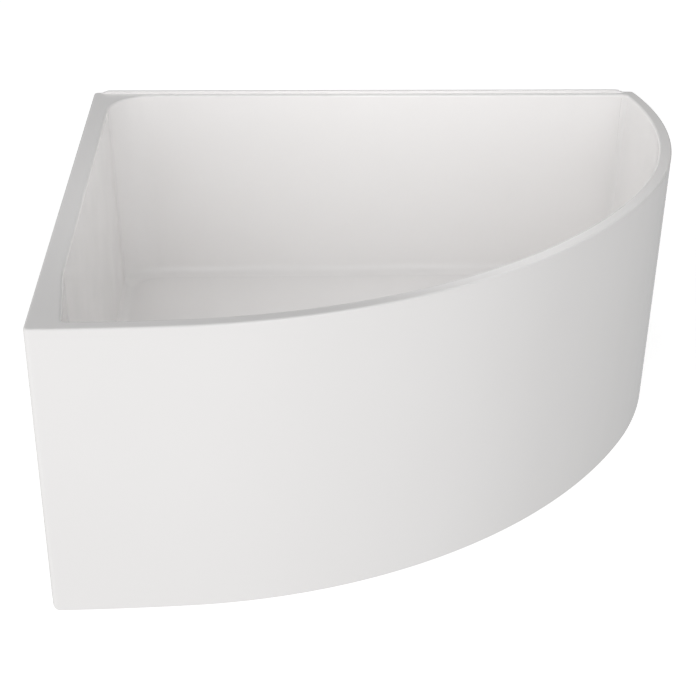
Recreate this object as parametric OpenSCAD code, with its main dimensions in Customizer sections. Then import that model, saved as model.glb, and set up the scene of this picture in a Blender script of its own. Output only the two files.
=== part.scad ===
// Corner bathtub for a left-hand wall corner: a moulded basin with a slim rim,
// one curved skirt panel, a levelled steel frame, and a press-to-open waste
// with its overflow. The basin and its backing are skins lofted through one
// family of plan outlines, so the rim, walls, floor and skirt stay parallel.

/* [Plan] */
// Length along the back wall, over the curved skirt
bath_length = 1200; // [1140:5:1280]
// Depth from the back wall to the front, along the left wall
bath_depth = 1065; // [1020:5:1120]
// Height of the rim above the floor
rim_height = 550; // [530:5:600]
// Radius of the flattest stretch of the front, next to the left corner
front_radius = 4500; // [4000:50:5500]
// Degrees that the flattest stretch turns
front_turn = 3; // [2:0.5:4]
// Degrees that the middle stretch of the front turns
middle_turn = 54; // [50:1:58]
// Radius of the tight right-hand end
end_radius = 720; // [680:10:760]

/* [Basin] */
// Depth inside, from the rim to the basin floor
basin_depth = 420; // [380:5:440]
// Thickness of the moulded sheet
sheet_t = 5; // [4:0.5:6]
// Width of the rim along the left wall
rim_left = 39; // [34:1:48]
// Width of the rim along the back wall
rim_back = 24; // [22:1:34]
// Width of the rim along the curved front
rim_front = 24.5; // [23:0.5:32]
// Height of the turned-down edge round the rim
rim_drop = 14; // [12:1:20]
// Lean of the walls inwards, in degrees from upright
wall_draft = 1.5; // [0.5:0.25:3]
// Radius between walls and floor
floor_fillet = 25; // [15:1:40]
// Radius of the upright corner between the two wall sides
corner_fillet = 90; // [70:1:110]
// Radius of the upright corner at the front left
front_corner = 14; // [10:1:20]
// Radius of the upright corner at the right-hand end of the back wall
end_corner = 12; // [8:1:16]
// Distance from the front to where the left wall turns into its angled panel
knee_front = 200; // [185:1:225]
// Angle of that panel, which widens the rim over the overflow
panel_angle = 5.8; // [5.4:0.2:7]
// Radius of the bend between the left wall and the angled panel
knee_radius = 120; // [80:5:160]
// Rounding of the outer edge of the rim
edge_round = 4; // [2:0.5:5]
// Rounding of the inner edge of the rim
lip_round = 5; // [3:0.5:7]
// Radius of the outer corners of the rim, seen from above
plan_round = 9; // [7:0.5:12]

/* [Upstand and recess] */
// Height of the raised strip along the back of the rim
upstand_h = 6; // [4:0.5:8]
// Width of the raised strip
upstand_w = 7; // [5:0.5:9]
// Distance of the raised strip from the back face
upstand_back = 4; // [4:0.5:6]
// Distance of the strip's ends from the ends of the rim
upstand_end = 14; // [10:1:30]
// Length over which each end of the strip slopes down
upstand_slope = 16; // [10:1:24]
// Width of the shallow recess at the right of the back wall
recess_w = 104; // [90:1:120]
// Height over which the recess fades out
recess_h = 130; // [110:5:160]
// Depth of the recess at its top
recess_d = 2.5; // [1.5:0.25:3]
// Distance of the recess below the rim
recess_drop = 8; // [7:0.5:14]
// Radius of the recess's upper corner
recess_corner = 12; // [8:1:20]

/* [Backing and board] */
// Thickness of the glassfibre backing
backing_t = 4; // [3:0.5:5]
// Distance from the rim down to the top of the backing
backing_drop = 40; // [30:1:60]
// Thickness of the board under the floor
board_t = 16; // [12:1:18]
// Distance of the board's edge inside the flat of the floor
board_inset = 8; // [5:1:15]

/* [Frame] */
// Width and height of the square frame tube
tube_w = 25; // [20:1:27]
// Wall of the frame tube
tube_wall = 1.5; // [1.2:0.1:2]
// Distance of the rear rail from the back wall
rear_rail = 140; // [125:5:160]
// Distance of the middle rail from the back wall
middle_rail = 480; // [450:5:500]
// Distance of the front rail from the front
front_rail = 220; // [210:5:240]
// Distance of the left cross rail from the left wall
left_rail = 142; // [140:1:150]
// Distance of the centre cross rail from the left wall
centre_rail = 540; // [500:5:560]
// Distance of the right cross rail from the left wall
right_rail = 890; // [860:5:900]
// Thickness of the leg tongues and skirt stays
strip_t = 3; // [2:0.5:4]
// Width of the leg tongues
tongue_w = 40; // [34:1:46]

/* [Legs] */
// Distance of the left-hand legs from the left wall
left_leg = 105; // [100:1:110]
// Distance of the rear right leg inside the skirt
rear_leg = 146; // [135:1:160]
// Distance of the middle right leg inside the skirt
middle_leg = 130; // [125:1:150]
// Distance of the front right leg inside the skirt, along the front rail
front_leg = 178; // [170:1:190]
// Diameter of the leg studs
stud_d = 12; // [10:1:14]
// Diameter of a foot pad
pad_d = 50; // [40:1:60]
// Thickness of the pad's disc
pad_t = 6; // [5:0.5:8]
// Height of the pad's socket
pad_h = 18; // [16:1:22]
// Width across the points of the nuts
nut_w = 21.9; // [19:0.1:24]
// Height of the welded nuts
nut_h = 10; // [8:0.5:10.5]
// Height of the lock nuts
lock_nut_h = 7; // [5:0.5:8]

/* [Skirt] */
// Thickness of the skirt panel
skirt_t = 4; // [3:0.5:4.5]
// Distance of the skirt's foot above the floor
skirt_gap = 2; // [1.6:0.2:6]
// Width of the flange along the skirt's foot
skirt_flange = 24; // [16:1:30]
// Length of the returns along the two walls
skirt_return = 45; // [35:1:55]
// Height of the tongue that stands behind the rim's edge
skirt_tongue = 8; // [5:0.5:8]
// Radius cut off the skirt's lower left corner
skirt_corner = 13; // [8:1:18]
// Distance of the first stay from the left wall
stay_1 = 330; // [300:5:370]
// Distance of the second stay from the left wall
stay_2 = 535; // [520:5:545]
// Distance of the third stay behind the middle rail
stay_3 = 50; // [40:1:65]
// Width of the stays
stay_w = 30; // [24:1:36]
// Height of the stays' end tabs
tab_h = 60; // [50:1:70]
// Depth of the fixing blocks at their middle
block_d = 32; // [28:1:40]
// Width of the fixing blocks
block_w = 56; // [46:1:60]
// Height of the fixing blocks
block_h = 50; // [40:1:54]

/* [Wall brackets] */
// Width of a wall bracket
bracket_w = 40; // [30:1:60]
// Thickness of the wall brackets
bracket_t = 2; // [1.5:0.25:3]
// Height of a bracket's wall plate
bracket_h = 66; // [60:1:90]
// Distance between its two screw holes
bracket_pitch = 30; // [20:1:36]
// Diameter of those holes
bracket_hole = 6.5; // [5:0.5:8]
// Distance of the left back bracket from the left wall
bracket_1 = 250; // [200:5:400]
// Distance of the right back bracket from the left wall
bracket_2 = 900; // [700:5:980]
// Distance of the side bracket from the back wall
bracket_3 = 400; // [250:5:600]

/* [Waste] */
// Distance of the waste from the left wall
waste_x = 235; // [225:1:260]
// Diameter of the hole in the basin floor
waste_hole = 52; // [50:1:54]
// Depth of the dish that the flange lies in
dish = 3.5; // [3:0.5:5]
// Diameter of the flange
flange_d = 70; // [66:1:74]
// Thickness of the flange's ring
flange_t = 2.5; // [2:0.25:2.75]
// Diameter of the mouth through the flange
mouth_d = 40; // [38:1:42]
// Diameter of the flange's threaded tail
tail_d = 48; // [46:1:49]
// Length of the threaded tail below the ring
tail_h = 36; // [30:1:38]
// Thickness of the seal under the floor
seal_t = 3; // [2:0.5:4]
// Diameter of the waste body's chamber
chamber_d = 58; // [56:1:60]
// Wall of the plastic pipework
pipe_wall = 2.4; // [2:0.1:2.8]
// Depth of the waste body below the seal
chamber_h = 84; // [80:1:90]
// Outside diameter of the outlet
outlet_d = 40; // [38:1:44]
// Reach of the outlet from the middle of the waste
outlet_l = 92; // [80:1:110]
// Diameter of the plug's cap
cap_d = 62; // [58:1:64]
// Thickness of the cap at its middle
cap_t = 6; // [5:0.5:8]
// Diameter of the plug's stem
stem_d = 8; // [6:0.5:9]
// Distance that the plug rises when pressed
plug_travel = 9; // [6:0.5:11]
// Diameter of the press cartridge
cartridge_d = 15; // [13:0.5:17]
// Length of the press cartridge
cartridge_h = 34; // [28:1:36]

/* [Overflow] */
// Distance from the rim down to the middle of the overflow
overflow_drop = 110; // [100:1:125]
// Distance along the angled panel from its bend to the overflow
overflow_along = 84; // [80:1:90]
// Diameter of the hole in the wall
overflow_hole = 34; // [30:1:36]
// Diameter of the cover
cover_d = 64; // [60:1:68]
// Depth of the cover
cover_t = 11; // [9:0.5:13]
// Diameter of the chamber behind the wall
elbow_d = 36; // [34:1:37]
// Distance of the pipe behind the panel's face
pipe_back = 30; // [29.5:0.5:31]
// Outside diameter of the overflow pipe
pipe_d = 26; // [24:1:26]
// Bend radius of the overflow pipe
pipe_bend = 58; // [52:1:62]
// Height of the pipe's lower run above the bottom of the waste body
pipe_rise = 27.5; // [17.5:0.5:29.5]

/* [Hidden] */
$fn = 72;

// Clearances
bond = 0.3;
seat = 0.3;
thread_gap = 0.08;
slide_gap = 0.06;
screw_gap = 0.05;
bore_gap = 0.5;
// Depth that welded pieces reach into each other
weld = 0.2;
cut = 1;

// Centres and radii of the three arcs of the front. They are tangent, start at
// the front left corner square to the left wall, and reach the given length.
both_turns = front_turn + middle_turn;
knee_depth = bath_depth - knee_front;
middle_radius = (bath_length - end_radius * (1 - sin(both_turns))
  - front_radius * sin(front_turn)) / (sin(both_turns) - sin(front_turn));
front_c = [0, front_radius - bath_depth];
middle_c = front_c + (front_radius - middle_radius) * [sin(front_turn), -cos(front_turn)];
end_c = middle_c + (middle_radius - end_radius) * [sin(both_turns), -cos(both_turns)];

// Levels
floor_z = rim_height - basin_depth;
sheet_z = floor_z - sheet_t;
backing_z = sheet_z - bond - backing_t;
board_z = backing_z - bond - board_t;
tube_z = board_z - bond - tube_w;
strip_z = tube_z - strip_t;
wall_lean = tan(wall_draft);
// Inset of the wall's foot, where the floor fillet starts
foot_inset = (basin_depth - floor_fillet) * wall_lean;
flat_inset = foot_inset + floor_fillet;

// Steps of each stretch of an outline
steps_front = 4;
steps_middle = 28;
steps_end = 30;
steps_corner = 10;
steps_small = 5;
steps_knee = 3;

function polar(r, a) = [r * cos(a), r * sin(a)];
function arc(c, r, a0, a1, n) = [for (i = [0:n]) c + polar(r, a0 + (a1 - a0) * i / n)];
function tail(list) = [for (i = [1:len(list) - 1]) list[i]];
function reversed(list) = [for (i = [len(list) - 1:-1:0]) list[i]];
function angle_of(v) = (atan2(v.y, v.x) + 360) % 360;

// Centre of a fillet between an upright line through p with outward normal
// angle a, and the front arc drawn in by inset
function left_fillet_c(p, a, r, inset) =
  let (
    v = polar(1, a + 90),
    q = p - polar(r, a) - front_c,
    reach = front_radius - inset - r,
    along = q * v
  )
  p - polar(r, a) + (sqrt(along * along - q * q + reach * reach) - along) * v;

// Centre of a fillet between the end arc drawn in by inset and the line y = -back
function end_fillet_c(back, r, inset) =
  let (rise = -back - r - end_c.y, reach = end_radius - inset - r)
  [end_c.x + sqrt(reach * reach - rise * rise), -back - r];

// The curved front drawn in by inset, from the fillet at f to the fillet at g
function front_points(inset, f, g) = concat(
  arc(front_c, front_radius - inset, angle_of(f - front_c), 270 + front_turn, steps_front),
  tail(arc(middle_c, middle_radius - inset, 270 + front_turn, 270 + both_turns, steps_middle)),
  tail(arc(end_c, end_radius - inset, 270 + both_turns, 360 + angle_of(g - end_c), steps_end))
);

// The outer outline of the bath, drawn in by inset, anticlockwise from the back
function outer(inset) =
  let (
    r = plan_round - inset,
    f = left_fillet_c([inset, 0], 180, r, inset),
    g = end_fillet_c(inset, r, inset)
  )
  concat(
    arc([plan_round, -plan_round], r, 90, 180, steps_corner),
    [for (i = [0:steps_knee]) [inset, -knee_depth - i * knee_radius * panel_angle / 180]],
    arc(f, r, 180, angle_of(f - front_c), steps_small),
    tail(front_points(inset, f, g)),
    tail(arc(g, r, angle_of(g - end_c), 90, steps_small))
  );

// The inner outline of the rim, drawn in by inset: as outer, but with a large
// back corner and with the angled panel after the knee
knee_c = [rim_left + knee_radius, -knee_depth];
function panel_point(inset, along) =
  knee_c + polar(knee_radius - inset, 180 + panel_angle) + polar(along, 270 + panel_angle);
function inner(inset) =
  let (
    f = left_fillet_c(panel_point(inset, 0), 180 + panel_angle, front_corner, rim_front + inset),
    g = end_fillet_c(rim_back + inset, end_corner, rim_front + inset)
  )
  concat(
    arc([rim_left + corner_fillet, -rim_back - corner_fillet], corner_fillet - inset, 90, 180,
        steps_corner),
    arc(knee_c, knee_radius - inset, 180, 180 + panel_angle, steps_knee),
    arc(f, front_corner, 180 + panel_angle, angle_of(f - front_c), steps_small),
    tail(front_points(rim_front + inset, f, g)),
    tail(arc(g, end_corner, angle_of(g - end_c), 90, steps_small))
  );

// The front alone, with a return along each wall
function skirt_line(inset) =
  let (
    r = plan_round - min(inset, plan_round - 1),
    f = left_fillet_c([inset, 0], 180, r, inset),
    g = end_fillet_c(inset, r, inset),
    end = end_fillet_c(0, plan_round, 0)
  )
  concat(
    [[inset, skirt_return - bath_depth]],
    arc(f, r, 180, angle_of(f - front_c), steps_small),
    tail(front_points(inset, f, g)),
    tail(arc(g, r, angle_of(g - end_c), 90, steps_small)),
    [[end.x - skirt_return, -inset]]
  );

// Where the outer outline stands at a given distance from a wall
middle_end = end_c + polar(end_radius, 270 + both_turns);
front_end = front_c + polar(front_radius, 270 + front_turn);
function skirt_x(y) = y > middle_end.y
  ? end_c.x + sqrt(pow(end_radius, 2) - pow(y - end_c.y, 2))
  : middle_c.x + sqrt(pow(middle_radius, 2) - pow(y - middle_c.y, 2));
function skirt_y(x) = x < front_end.x
  ? front_c.y - sqrt(pow(front_radius, 2) - pow(x - front_c.x, 2))
  : middle_c.y - sqrt(pow(middle_radius, 2) - pow(x - middle_c.x, 2));

// Everything is drawn from the wall corner, x along the back wall and y towards
// it, and then moved so that the origin is under the middle of the bath
module from_wall_corner() {
  translate([-bath_length / 2, bath_depth / 2, 0]) children();
}

function ring(points, z) = [for (p = points) [p.x, p.y, z]];

// A skin through closed rings of equally many points, closed by its two ends
module skin(rings) {
  n = len(rings[0]);
  last = len(rings) - 1;
  sides = [for (k = [0:last - 1], i = [0:n - 1])
    let (j = (i + 1) % n, a = k * n, b = a + n)
    each [[a + i, b + i, b + j], [a + i, b + j, a + j]]];
  ends = [[for (i = [0:n - 1]) i], [for (i = [n - 1:-1:0]) last * n + i]];
  polyhedron(points = [for (r = rings) each r], faces = concat(sides, ends), convexity = 10);
}

// The floor fillet at a distance out from the inner face, from foot to floor
fillet_steps = [90, 72, 54, 36, 18, 0];
function fillet_rings(out) = [for (a = fillet_steps)
  ring(inner(flat_inset - (floor_fillet + out) * cos(a)),
       floor_z + floor_fillet - (floor_fillet + out) * sin(a))];
function wall_ring(out, drop) = ring(inner(drop * wall_lean - out), rim_height - drop);

// Basin
round_steps = [0, 30, 60, 90];

module basin_skin() {
  skin(concat(
    fillet_rings(sheet_t),
    [wall_ring(sheet_t, sheet_t)],
    [ring(outer(sheet_t), rim_height - sheet_t)],
    [ring(outer(sheet_t), rim_height - rim_drop)],
    [ring(outer(0), rim_height - rim_drop)],
    [for (a = round_steps)
      ring(outer(edge_round * (1 - cos(a))), rim_height - edge_round * (1 - sin(a)))],
    [for (a = round_steps)
      ring(inner(lip_round * (sin(a) - 1)), rim_height - lip_round * (1 - cos(a)))],
    reversed(fillet_rings(0))
  ));
}

rim_end_x = end_fillet_c(0, plan_round, 0).x;

// Strip along the back of the rim, with ends that slope down to it
module upstand() {
  x0 = upstand_end;
  x1 = rim_end_x - upstand_end;
  translate([0, -upstand_back, rim_height]) rotate([90, 0, 0]) linear_extrude(upstand_w)
    polygon([
      [x0, -cut], [x0, 0], [x0 + upstand_slope, upstand_h],
      [x1 - upstand_slope, upstand_h], [x1, 0], [x1, -cut]
    ]);
}

// Shallow recess in the back wall that fades out downwards, with one round corner
module recess() {
  corner = end_fillet_c(rim_back, end_corner, rim_front);
  x1 = corner.x;
  x0 = x1 - recess_w;
  z1 = rim_height - recess_drop;
  z0 = z1 - recess_h;
  y1 = -rim_back - recess_drop * wall_lean;
  y0 = -rim_back - (recess_drop + recess_h) * wall_lean;
  intersection() {
    translate([x0, 0, 0]) rotate([90, 0, 90]) linear_extrude(recess_w)
      polygon([[y1 + recess_d, z1], [y0, z0], [y0 - 2 * recess_d, z0], [y1 - 2 * recess_d, z1]]);
    rotate([90, 0, 0]) linear_extrude(bath_depth) union() {
      translate([x0, z0 - cut]) square([recess_w + cut, z1 - z0 + cut - recess_corner]);
      translate([x0 + recess_corner, z0]) square([recess_w, z1 - z0]);
      translate([x0 + recess_corner, z1 - recess_corner]) circle(recess_corner);
    }
  }
}

// Frame of the overflow: origin on the angled panel's face, x out of the wall
overflow_z = rim_height - overflow_drop;
overflow_p = panel_point(overflow_drop * wall_lean, overflow_along);
module at_overflow() {
  translate([overflow_p.x, overflow_p.y, overflow_z])
    rotate([0, 0, panel_angle]) rotate([0, -wall_draft, 0]) children();
}
// Rod along the overflow's axis
module overflow_rod(d, x0, x1) {
  at_overflow() translate([x0, 0, 0]) rotate([0, 90, 0]) cylinder(d = d, h = x1 - x0);
}

// The pipe comes down behind the overflow, and the waste lies in line with it
pipe_p = overflow_p - polar(pipe_back, panel_angle);
waste_y = pipe_p.y;
module at_waste(z = 0) {
  translate([waste_x, waste_y, z]) children();
}
dish_z = floor_z - dish;
seal_z = dish_z - sheet_t;
dish_d = flange_d + 2 * seat;

module basin_shell() {
  color("white") from_wall_corner() difference() {
    union() {
      basin_skin();
      upstand();
      at_waste(seal_z) cylinder(d = dish_d + 2 * sheet_t, h = dish + weld);
    }
    at_waste(dish_z) cylinder(d = dish_d, h = dish + cut);
    at_waste(seal_z - cut) cylinder(d = waste_hole, h = sheet_t + 2 * cut);
    overflow_rod(overflow_hole, -sheet_t - cut, cut);
    recess();
  }
}

// Glassfibre and resin sprayed over the back of the basin
module glassfibre_backing() {
  inside = sheet_t + bond;
  outside = inside + backing_t;
  top = [wall_ring(outside, backing_drop), wall_ring(inside, backing_drop)];
  color("khaki") from_wall_corner() difference() {
    skin(concat(fillet_rings(outside), top, reversed(fillet_rings(inside))));
    at_waste(backing_z - cut) cylinder(d = board_hole, h = backing_t + 2 * cut);
    overflow_rod(cover_d + 2 * bore_gap, -outside - 2 * cut, 0);
  }
}

// Board bonded under the floor
board_hole = dish_d + 2 * sheet_t + 4;
screw_d = 4;
screw_head_d = 9;
screw_head_h = 2.6;
screw_bite = 12;
module base_board() {
  color("burlywood") from_wall_corner() difference() {
    translate([0, 0, board_z]) linear_extrude(board_t) polygon(inner(flat_inset + board_inset));
    at_waste(board_z - cut) cylinder(d = board_hole, h = board_t + 2 * cut);
    for (p = frame_screw_spots) translate([p.x, p.y, board_z - cut])
      cylinder(d = screw_d + 2 * screw_gap, h = cut + screw_bite + seat);
  }
}

// Rails run along x at these y, and cross rails along y at these x
rear_y = -rear_rail;
middle_y = -middle_rail;
front_y = front_rail - bath_depth;
tongue_reach = 26;
leg_rear_x = skirt_x(rear_y) - rear_leg;
leg_middle_x = skirt_x(middle_y) - middle_leg;
leg_front_x = skirt_x(front_y) - front_leg;
// Each leg's place, and the way from it to its rail
legs = [
  [left_leg, rear_y, 0], [leg_rear_x, rear_y, 180], [left_leg, front_y, 0],
  [leg_front_x, front_y, 180], [leg_middle_x, middle_y, 180]
];
rail_start = left_leg + tongue_reach;
// Distance of the board's screws from the cross rails
screw_inset = 70;
frame_screw_spots = [
  for (y = [rear_y, middle_y, front_y], x = [left_rail + screw_inset, centre_rail - screw_inset])
    [x, y],
  for (y = [rear_y, middle_y]) [right_rail - screw_inset, y]
];

module tube(length) {
  rotate([90, 0, 90]) translate([0, tube_w / 2, 0]) linear_extrude(length) difference() {
    square(tube_w, center = true);
    square(tube_w - 2 * tube_wall, center = true);
  }
}
module rail(y, x1) {
  translate([rail_start, y, tube_z]) tube(x1 - rail_start);
}
// A cross rail between two rails, let into their walls
module cross_rail(x, y0, y1) {
  translate([x, y1 - tube_w / 2 + weld, tube_z]) rotate([0, 0, -90])
    tube(y1 - y0 - tube_w + 2 * weld);
}
// Tongue under a rail's end that carries a leg
module tongue(leg) {
  translate([leg.x, leg.y, strip_z + weld]) rotate([0, 0, leg[2]])
    translate([0, -tongue_w / 2, 0]) {
      cube([tongue_reach + tube_w, tongue_w, strip_t]);
      translate([0, tongue_w / 2, 0]) cylinder(d = tongue_w, h = strip_t);
    }
}

module steel_frame() {
  color("silver") from_wall_corner() difference() {
    union() {
      rail(rear_y, leg_rear_x - tongue_reach);
      rail(middle_y, leg_middle_x - tongue_reach);
      rail(front_y, leg_front_x - tongue_reach);
      for (x = [left_rail, centre_rail]) {
        cross_rail(x, middle_y, rear_y);
        cross_rail(x, front_y, middle_y);
      }
      cross_rail(right_rail, middle_y, rear_y);
      translate([rail_start, middle_y - tube_w / 2, tube_z]) cube([tube_wall, tube_w, tube_w]);
      for (leg = legs) tongue(leg);
    }
    for (leg = legs) translate([leg.x, leg.y, strip_z - cut])
      cylinder(d = stud_d + 2 * bore_gap, h = strip_t + 3 * cut);
    for (p = frame_screw_spots) translate([p.x, p.y, tube_z - cut])
      cylinder(d = screw_d + 2 * bore_gap, h = tube_w + 2 * cut);
    for (s = stays) stay_screw_holes(s, bore_gap);
  }
}

// Pan-head screw standing on its head, with the shank up
module pan_screw(shank) {
  translate([0, 0, -screw_head_h]) cylinder(d1 = screw_head_d - 2, d2 = screw_head_d,
                                            h = screw_head_h / 2);
  translate([0, 0, -screw_head_h / 2]) cylinder(d = screw_head_d, h = screw_head_h / 2);
  translate([0, 0, -weld]) cylinder(d = screw_d, h = shank + weld);
}
module frame_screws() {
  color("gainsboro") from_wall_corner() for (p = frame_screw_spots)
    translate([p.x, p.y, tube_z]) pan_screw(tube_w + bond + screw_bite);
}

module nut(h) {
  difference() {
    cylinder(d = nut_w, h = h, $fn = 6);
    translate([0, 0, -cut]) cylinder(d = stud_d + 2 * thread_gap, h = h + 2 * cut);
  }
}
module frame_nuts() {
  color("silver") from_wall_corner() for (leg = legs)
    translate([leg.x, leg.y, strip_z + strip_t + weld]) nut(nut_h);
}
module lock_nuts() {
  color("gold") from_wall_corner() for (leg = legs)
    translate([leg.x, leg.y, strip_z + weld - lock_nut_h]) nut(lock_nut_h);
}

// Threaded stud: its foot turns in the pad's socket, and its top is just under
// the board when the leg is fully in
stud_foot = pad_t + seat;
stud_top = board_z - seat;
hex_h = 8;
hex_w = 18;
module leg_stud(k) {
  leg = legs[k - 1];
  color("silver") from_wall_corner() translate([leg.x, leg.y, 0]) {
    translate([0, 0, stud_foot]) cylinder(d = stud_d, h = stud_top - stud_foot - 1);
    translate([0, 0, stud_top - 1]) cylinder(d1 = stud_d, d2 = stud_d - 2, h = 1);
    translate([0, 0, pad_h + seat]) cylinder(d = hex_w, h = hex_h, $fn = 6);
  }
}
// Moulded pad: a disc with a rounded edge, a ribbed socket and a blind hole
socket_d = stud_d + 10;
module foot_pad(k) {
  leg = legs[k - 1];
  color("dimgray") from_wall_corner() translate([leg.x, leg.y, 0]) difference() {
    union() {
      rotate_extrude() polygon([
        [0, 0], [pad_d / 2 - 1, 0], [pad_d / 2, 1], [pad_d / 2, pad_t - 2],
        [pad_d / 2 - 2, pad_t], [socket_d / 2, pad_t + 1], [socket_d / 2 - 1, pad_h], [0, pad_h]
      ]);
      for (a = [0:60:300]) rotate([90, 0, a]) translate([0, 0, -1]) linear_extrude(2) polygon([
        [socket_d / 2 - 2, pad_t - 1], [pad_d / 2 - 4, pad_t - 1], [socket_d / 2 - 2, pad_h - 3]
      ]);
    }
    translate([0, 0, pad_t]) cylinder(d = stud_d + 2 * thread_gap, h = pad_h);
  }
}

// Skirt: one curved panel with a return along each wall, a flange along its
// foot, and a tongue along its top that stands behind the rim's edge
skirt_top = rim_height - rim_drop - seat;
tongue_inset = sheet_t + seat;
module skirt_band(inset0, inset1, z0, z1) {
  translate([0, 0, z0]) linear_extrude(z1 - z0)
    polygon(concat(skirt_line(inset0), reversed(skirt_line(inset1))));
}
module skirt_panel() {
  color("white") from_wall_corner() difference() {
    union() {
      skirt_band(0, skirt_t, skirt_gap, skirt_top);
      skirt_band(0, skirt_flange, skirt_gap, skirt_gap + skirt_t);
      skirt_band(0, tongue_inset + skirt_t, skirt_top - skirt_t, skirt_top);
      skirt_band(tongue_inset, tongue_inset + skirt_t, skirt_top - skirt_t,
                 skirt_top + skirt_tongue);
    }
    translate([-cut, -bath_depth - cut, skirt_gap - cut])
      cube([skirt_corner + cut, bath_depth, skirt_corner + cut]);
  }
  color("white") from_wall_corner() skirt_foot_corner();
}
// The rounded lower left corner of the skirt
module skirt_foot_corner() {
  intersection() {
    union() {
      skirt_band(0, skirt_t, skirt_gap, skirt_gap + skirt_corner + weld);
      skirt_band(0, skirt_flange, skirt_gap, skirt_gap + skirt_t);
    }
    translate([skirt_corner, 0, skirt_gap + skirt_corner]) rotate([90, 0, 0])
      cylinder(r = skirt_corner, h = 2 * bath_depth);
    translate([0, -bath_depth - cut, 0])
      cube([skirt_corner + weld, skirt_return + cut, skirt_gap + skirt_corner + weld]);
  }
}

// Stays hold the skirt from the frame. Each has its start on a rail's centre
// line, the way it points, and its distance from there to the skirt's face.
side_stay_y = middle_y + stay_3;
stays = [
  [[stay_1, front_y], -90, front_y - skirt_y(stay_1)],
  [[stay_2, front_y], -90, front_y - skirt_y(stay_2)],
  [[right_rail, side_stay_y], 0, skirt_x(side_stay_y) - right_rail]
];
tab_screw_pitch = 30;
function stay_length(s) = s[2] - skirt_t - block_d;
module at_stay(s) {
  translate([s[0].x, s[0].y, tube_z]) rotate([0, 0, s[1]]) children();
}
// Holes for the screw up into the rail and the two screws into the block
module stay_screw_holes(s, gap) {
  at_stay(s) translate([0, 0, -strip_t - cut])
    cylinder(d = screw_d + 2 * gap, h = strip_t + tube_wall + 2 * cut);
}
module tab_spots(s) {
  at_stay(s) for (side = [-1, 1])
    translate([stay_length(s) - strip_t, side * tab_screw_pitch / 2, -strip_t - tab_h / 2])
      rotate([0, 90, 0]) children();
}
module skirt_stays() {
  color("silver") from_wall_corner() for (s = stays) difference() {
    at_stay(s) union() {
      translate([-tube_w / 2, -stay_w / 2, -strip_t])
        cube([stay_length(s) + tube_w / 2, stay_w, strip_t]);
      translate([stay_length(s) - strip_t, -block_w / 2, -strip_t - tab_h])
        cube([strip_t, block_w, tab_h + strip_t]);
    }
    stay_screw_holes(s, bore_gap);
    tab_spots(s) translate([0, 0, -cut]) cylinder(d = screw_d + 2 * bore_gap, h = strip_t + 2 * cut);
  }
}
// Blocks bonded to the back of the skirt, curved to fit it
module skirt_blocks() {
  color("burlywood") from_wall_corner() for (s = stays) difference() {
    intersection() {
      at_stay(s) translate([stay_length(s), -block_w / 2, -strip_t - (tab_h + block_h) / 2])
        cube([2 * block_d, block_w, block_h]);
      linear_extrude(rim_height) polygon(outer(skirt_t + bond));
    }
    tab_spots(s) translate([0, 0, strip_t - cut])
      cylinder(d = screw_d + 2 * screw_gap, h = screw_bite + cut + seat);
  }
}
module stay_screws() {
  color("gainsboro") from_wall_corner() for (s = stays) {
    at_stay(s) translate([0, 0, -strip_t]) pan_screw(strip_t + tube_wall + 3);
    tab_spots(s) pan_screw(strip_t + screw_bite);
  }
}

// Wall bracket: a plate for the wall, with a hook that stands inside the rim's
// turned-down edge. Drawn with the wall at y = 0 and the room at y < 0.
module wall_bracket() {
  shelf_z = rim_height - rim_drop - seat;
  hook = sheet_t + seat;
  difference() {
    translate([-bracket_w / 2, 0, 0]) rotate([90, 0, 90]) linear_extrude(bracket_w) polygon([
      [0, shelf_z - bracket_h], [0, shelf_z], [-hook, shelf_z],
      [-hook, rim_height - sheet_t - seat], [-hook - bracket_t, rim_height - sheet_t - seat],
      [-hook - bracket_t, shelf_z - bracket_t], [-bracket_t, shelf_z - bracket_t],
      [-bracket_t, shelf_z - bracket_h]
    ]);
    for (side = [-1, 1])
      translate([0, cut, bracket_hole_z + side * bracket_pitch / 2]) rotate([90, 0, 0])
        cylinder(d = bracket_hole, h = bracket_t + 2 * cut);
  }
}
bracket_hole_z = rim_height - rim_drop - bracket_h / 2 - 2;
module wall_brackets() {
  color("silver") from_wall_corner() {
    translate([bracket_1, 0, 0]) wall_bracket();
    translate([bracket_2, 0, 0]) wall_bracket();
    translate([0, -bracket_3, 0]) rotate([0, 0, 90]) wall_bracket();
  }
}

// Waste: the flange's tail screws down into the body through the floor
flange_z = floor_z - flange_t;
washer_t = dish - flange_t;
tail_bore = tail_d - 2 * pipe_wall;
spider_z = flange_z - tail_h + 6;
spider_h = 8;
module waste_flange() {
  color("gainsboro") from_wall_corner() at_waste() difference() {
    union() {
      rotate_extrude() polygon([
        [mouth_d / 2, flange_z], [mouth_d / 2, floor_z - 1], [mouth_d / 2 + 1, floor_z],
        [flange_d / 2 - 1.2, floor_z], [flange_d / 2, flange_z + 0.6], [flange_d / 2, flange_z]
      ]);
      translate([0, 0, flange_z - tail_h]) difference() {
        cylinder(d = tail_d, h = tail_h + weld);
        translate([0, 0, -cut]) cylinder(d = tail_bore, h = tail_h + 2 * cut);
      }
      for (a = [0, 60, 120]) rotate([0, 0, a]) translate([-tail_d / 2 + 1, -1.5, spider_z])
        cube([tail_d - 2, 3, spider_h]);
      translate([0, 0, spider_z]) cylinder(d = cartridge_d + 6, h = spider_h);
    }
    translate([0, 0, spider_z - cut])
      cylinder(d = cartridge_d + 2 * screw_gap, h = spider_h + 2 * cut);
  }
}
module waste_washer() {
  color("dimgray") from_wall_corner() at_waste(dish_z) difference() {
    cylinder(d = flange_d - 3, h = washer_t);
    translate([0, 0, -cut]) cylinder(d = waste_hole, h = washer_t + 2 * cut);
  }
}
seal_d = chamber_d + 16;
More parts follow.
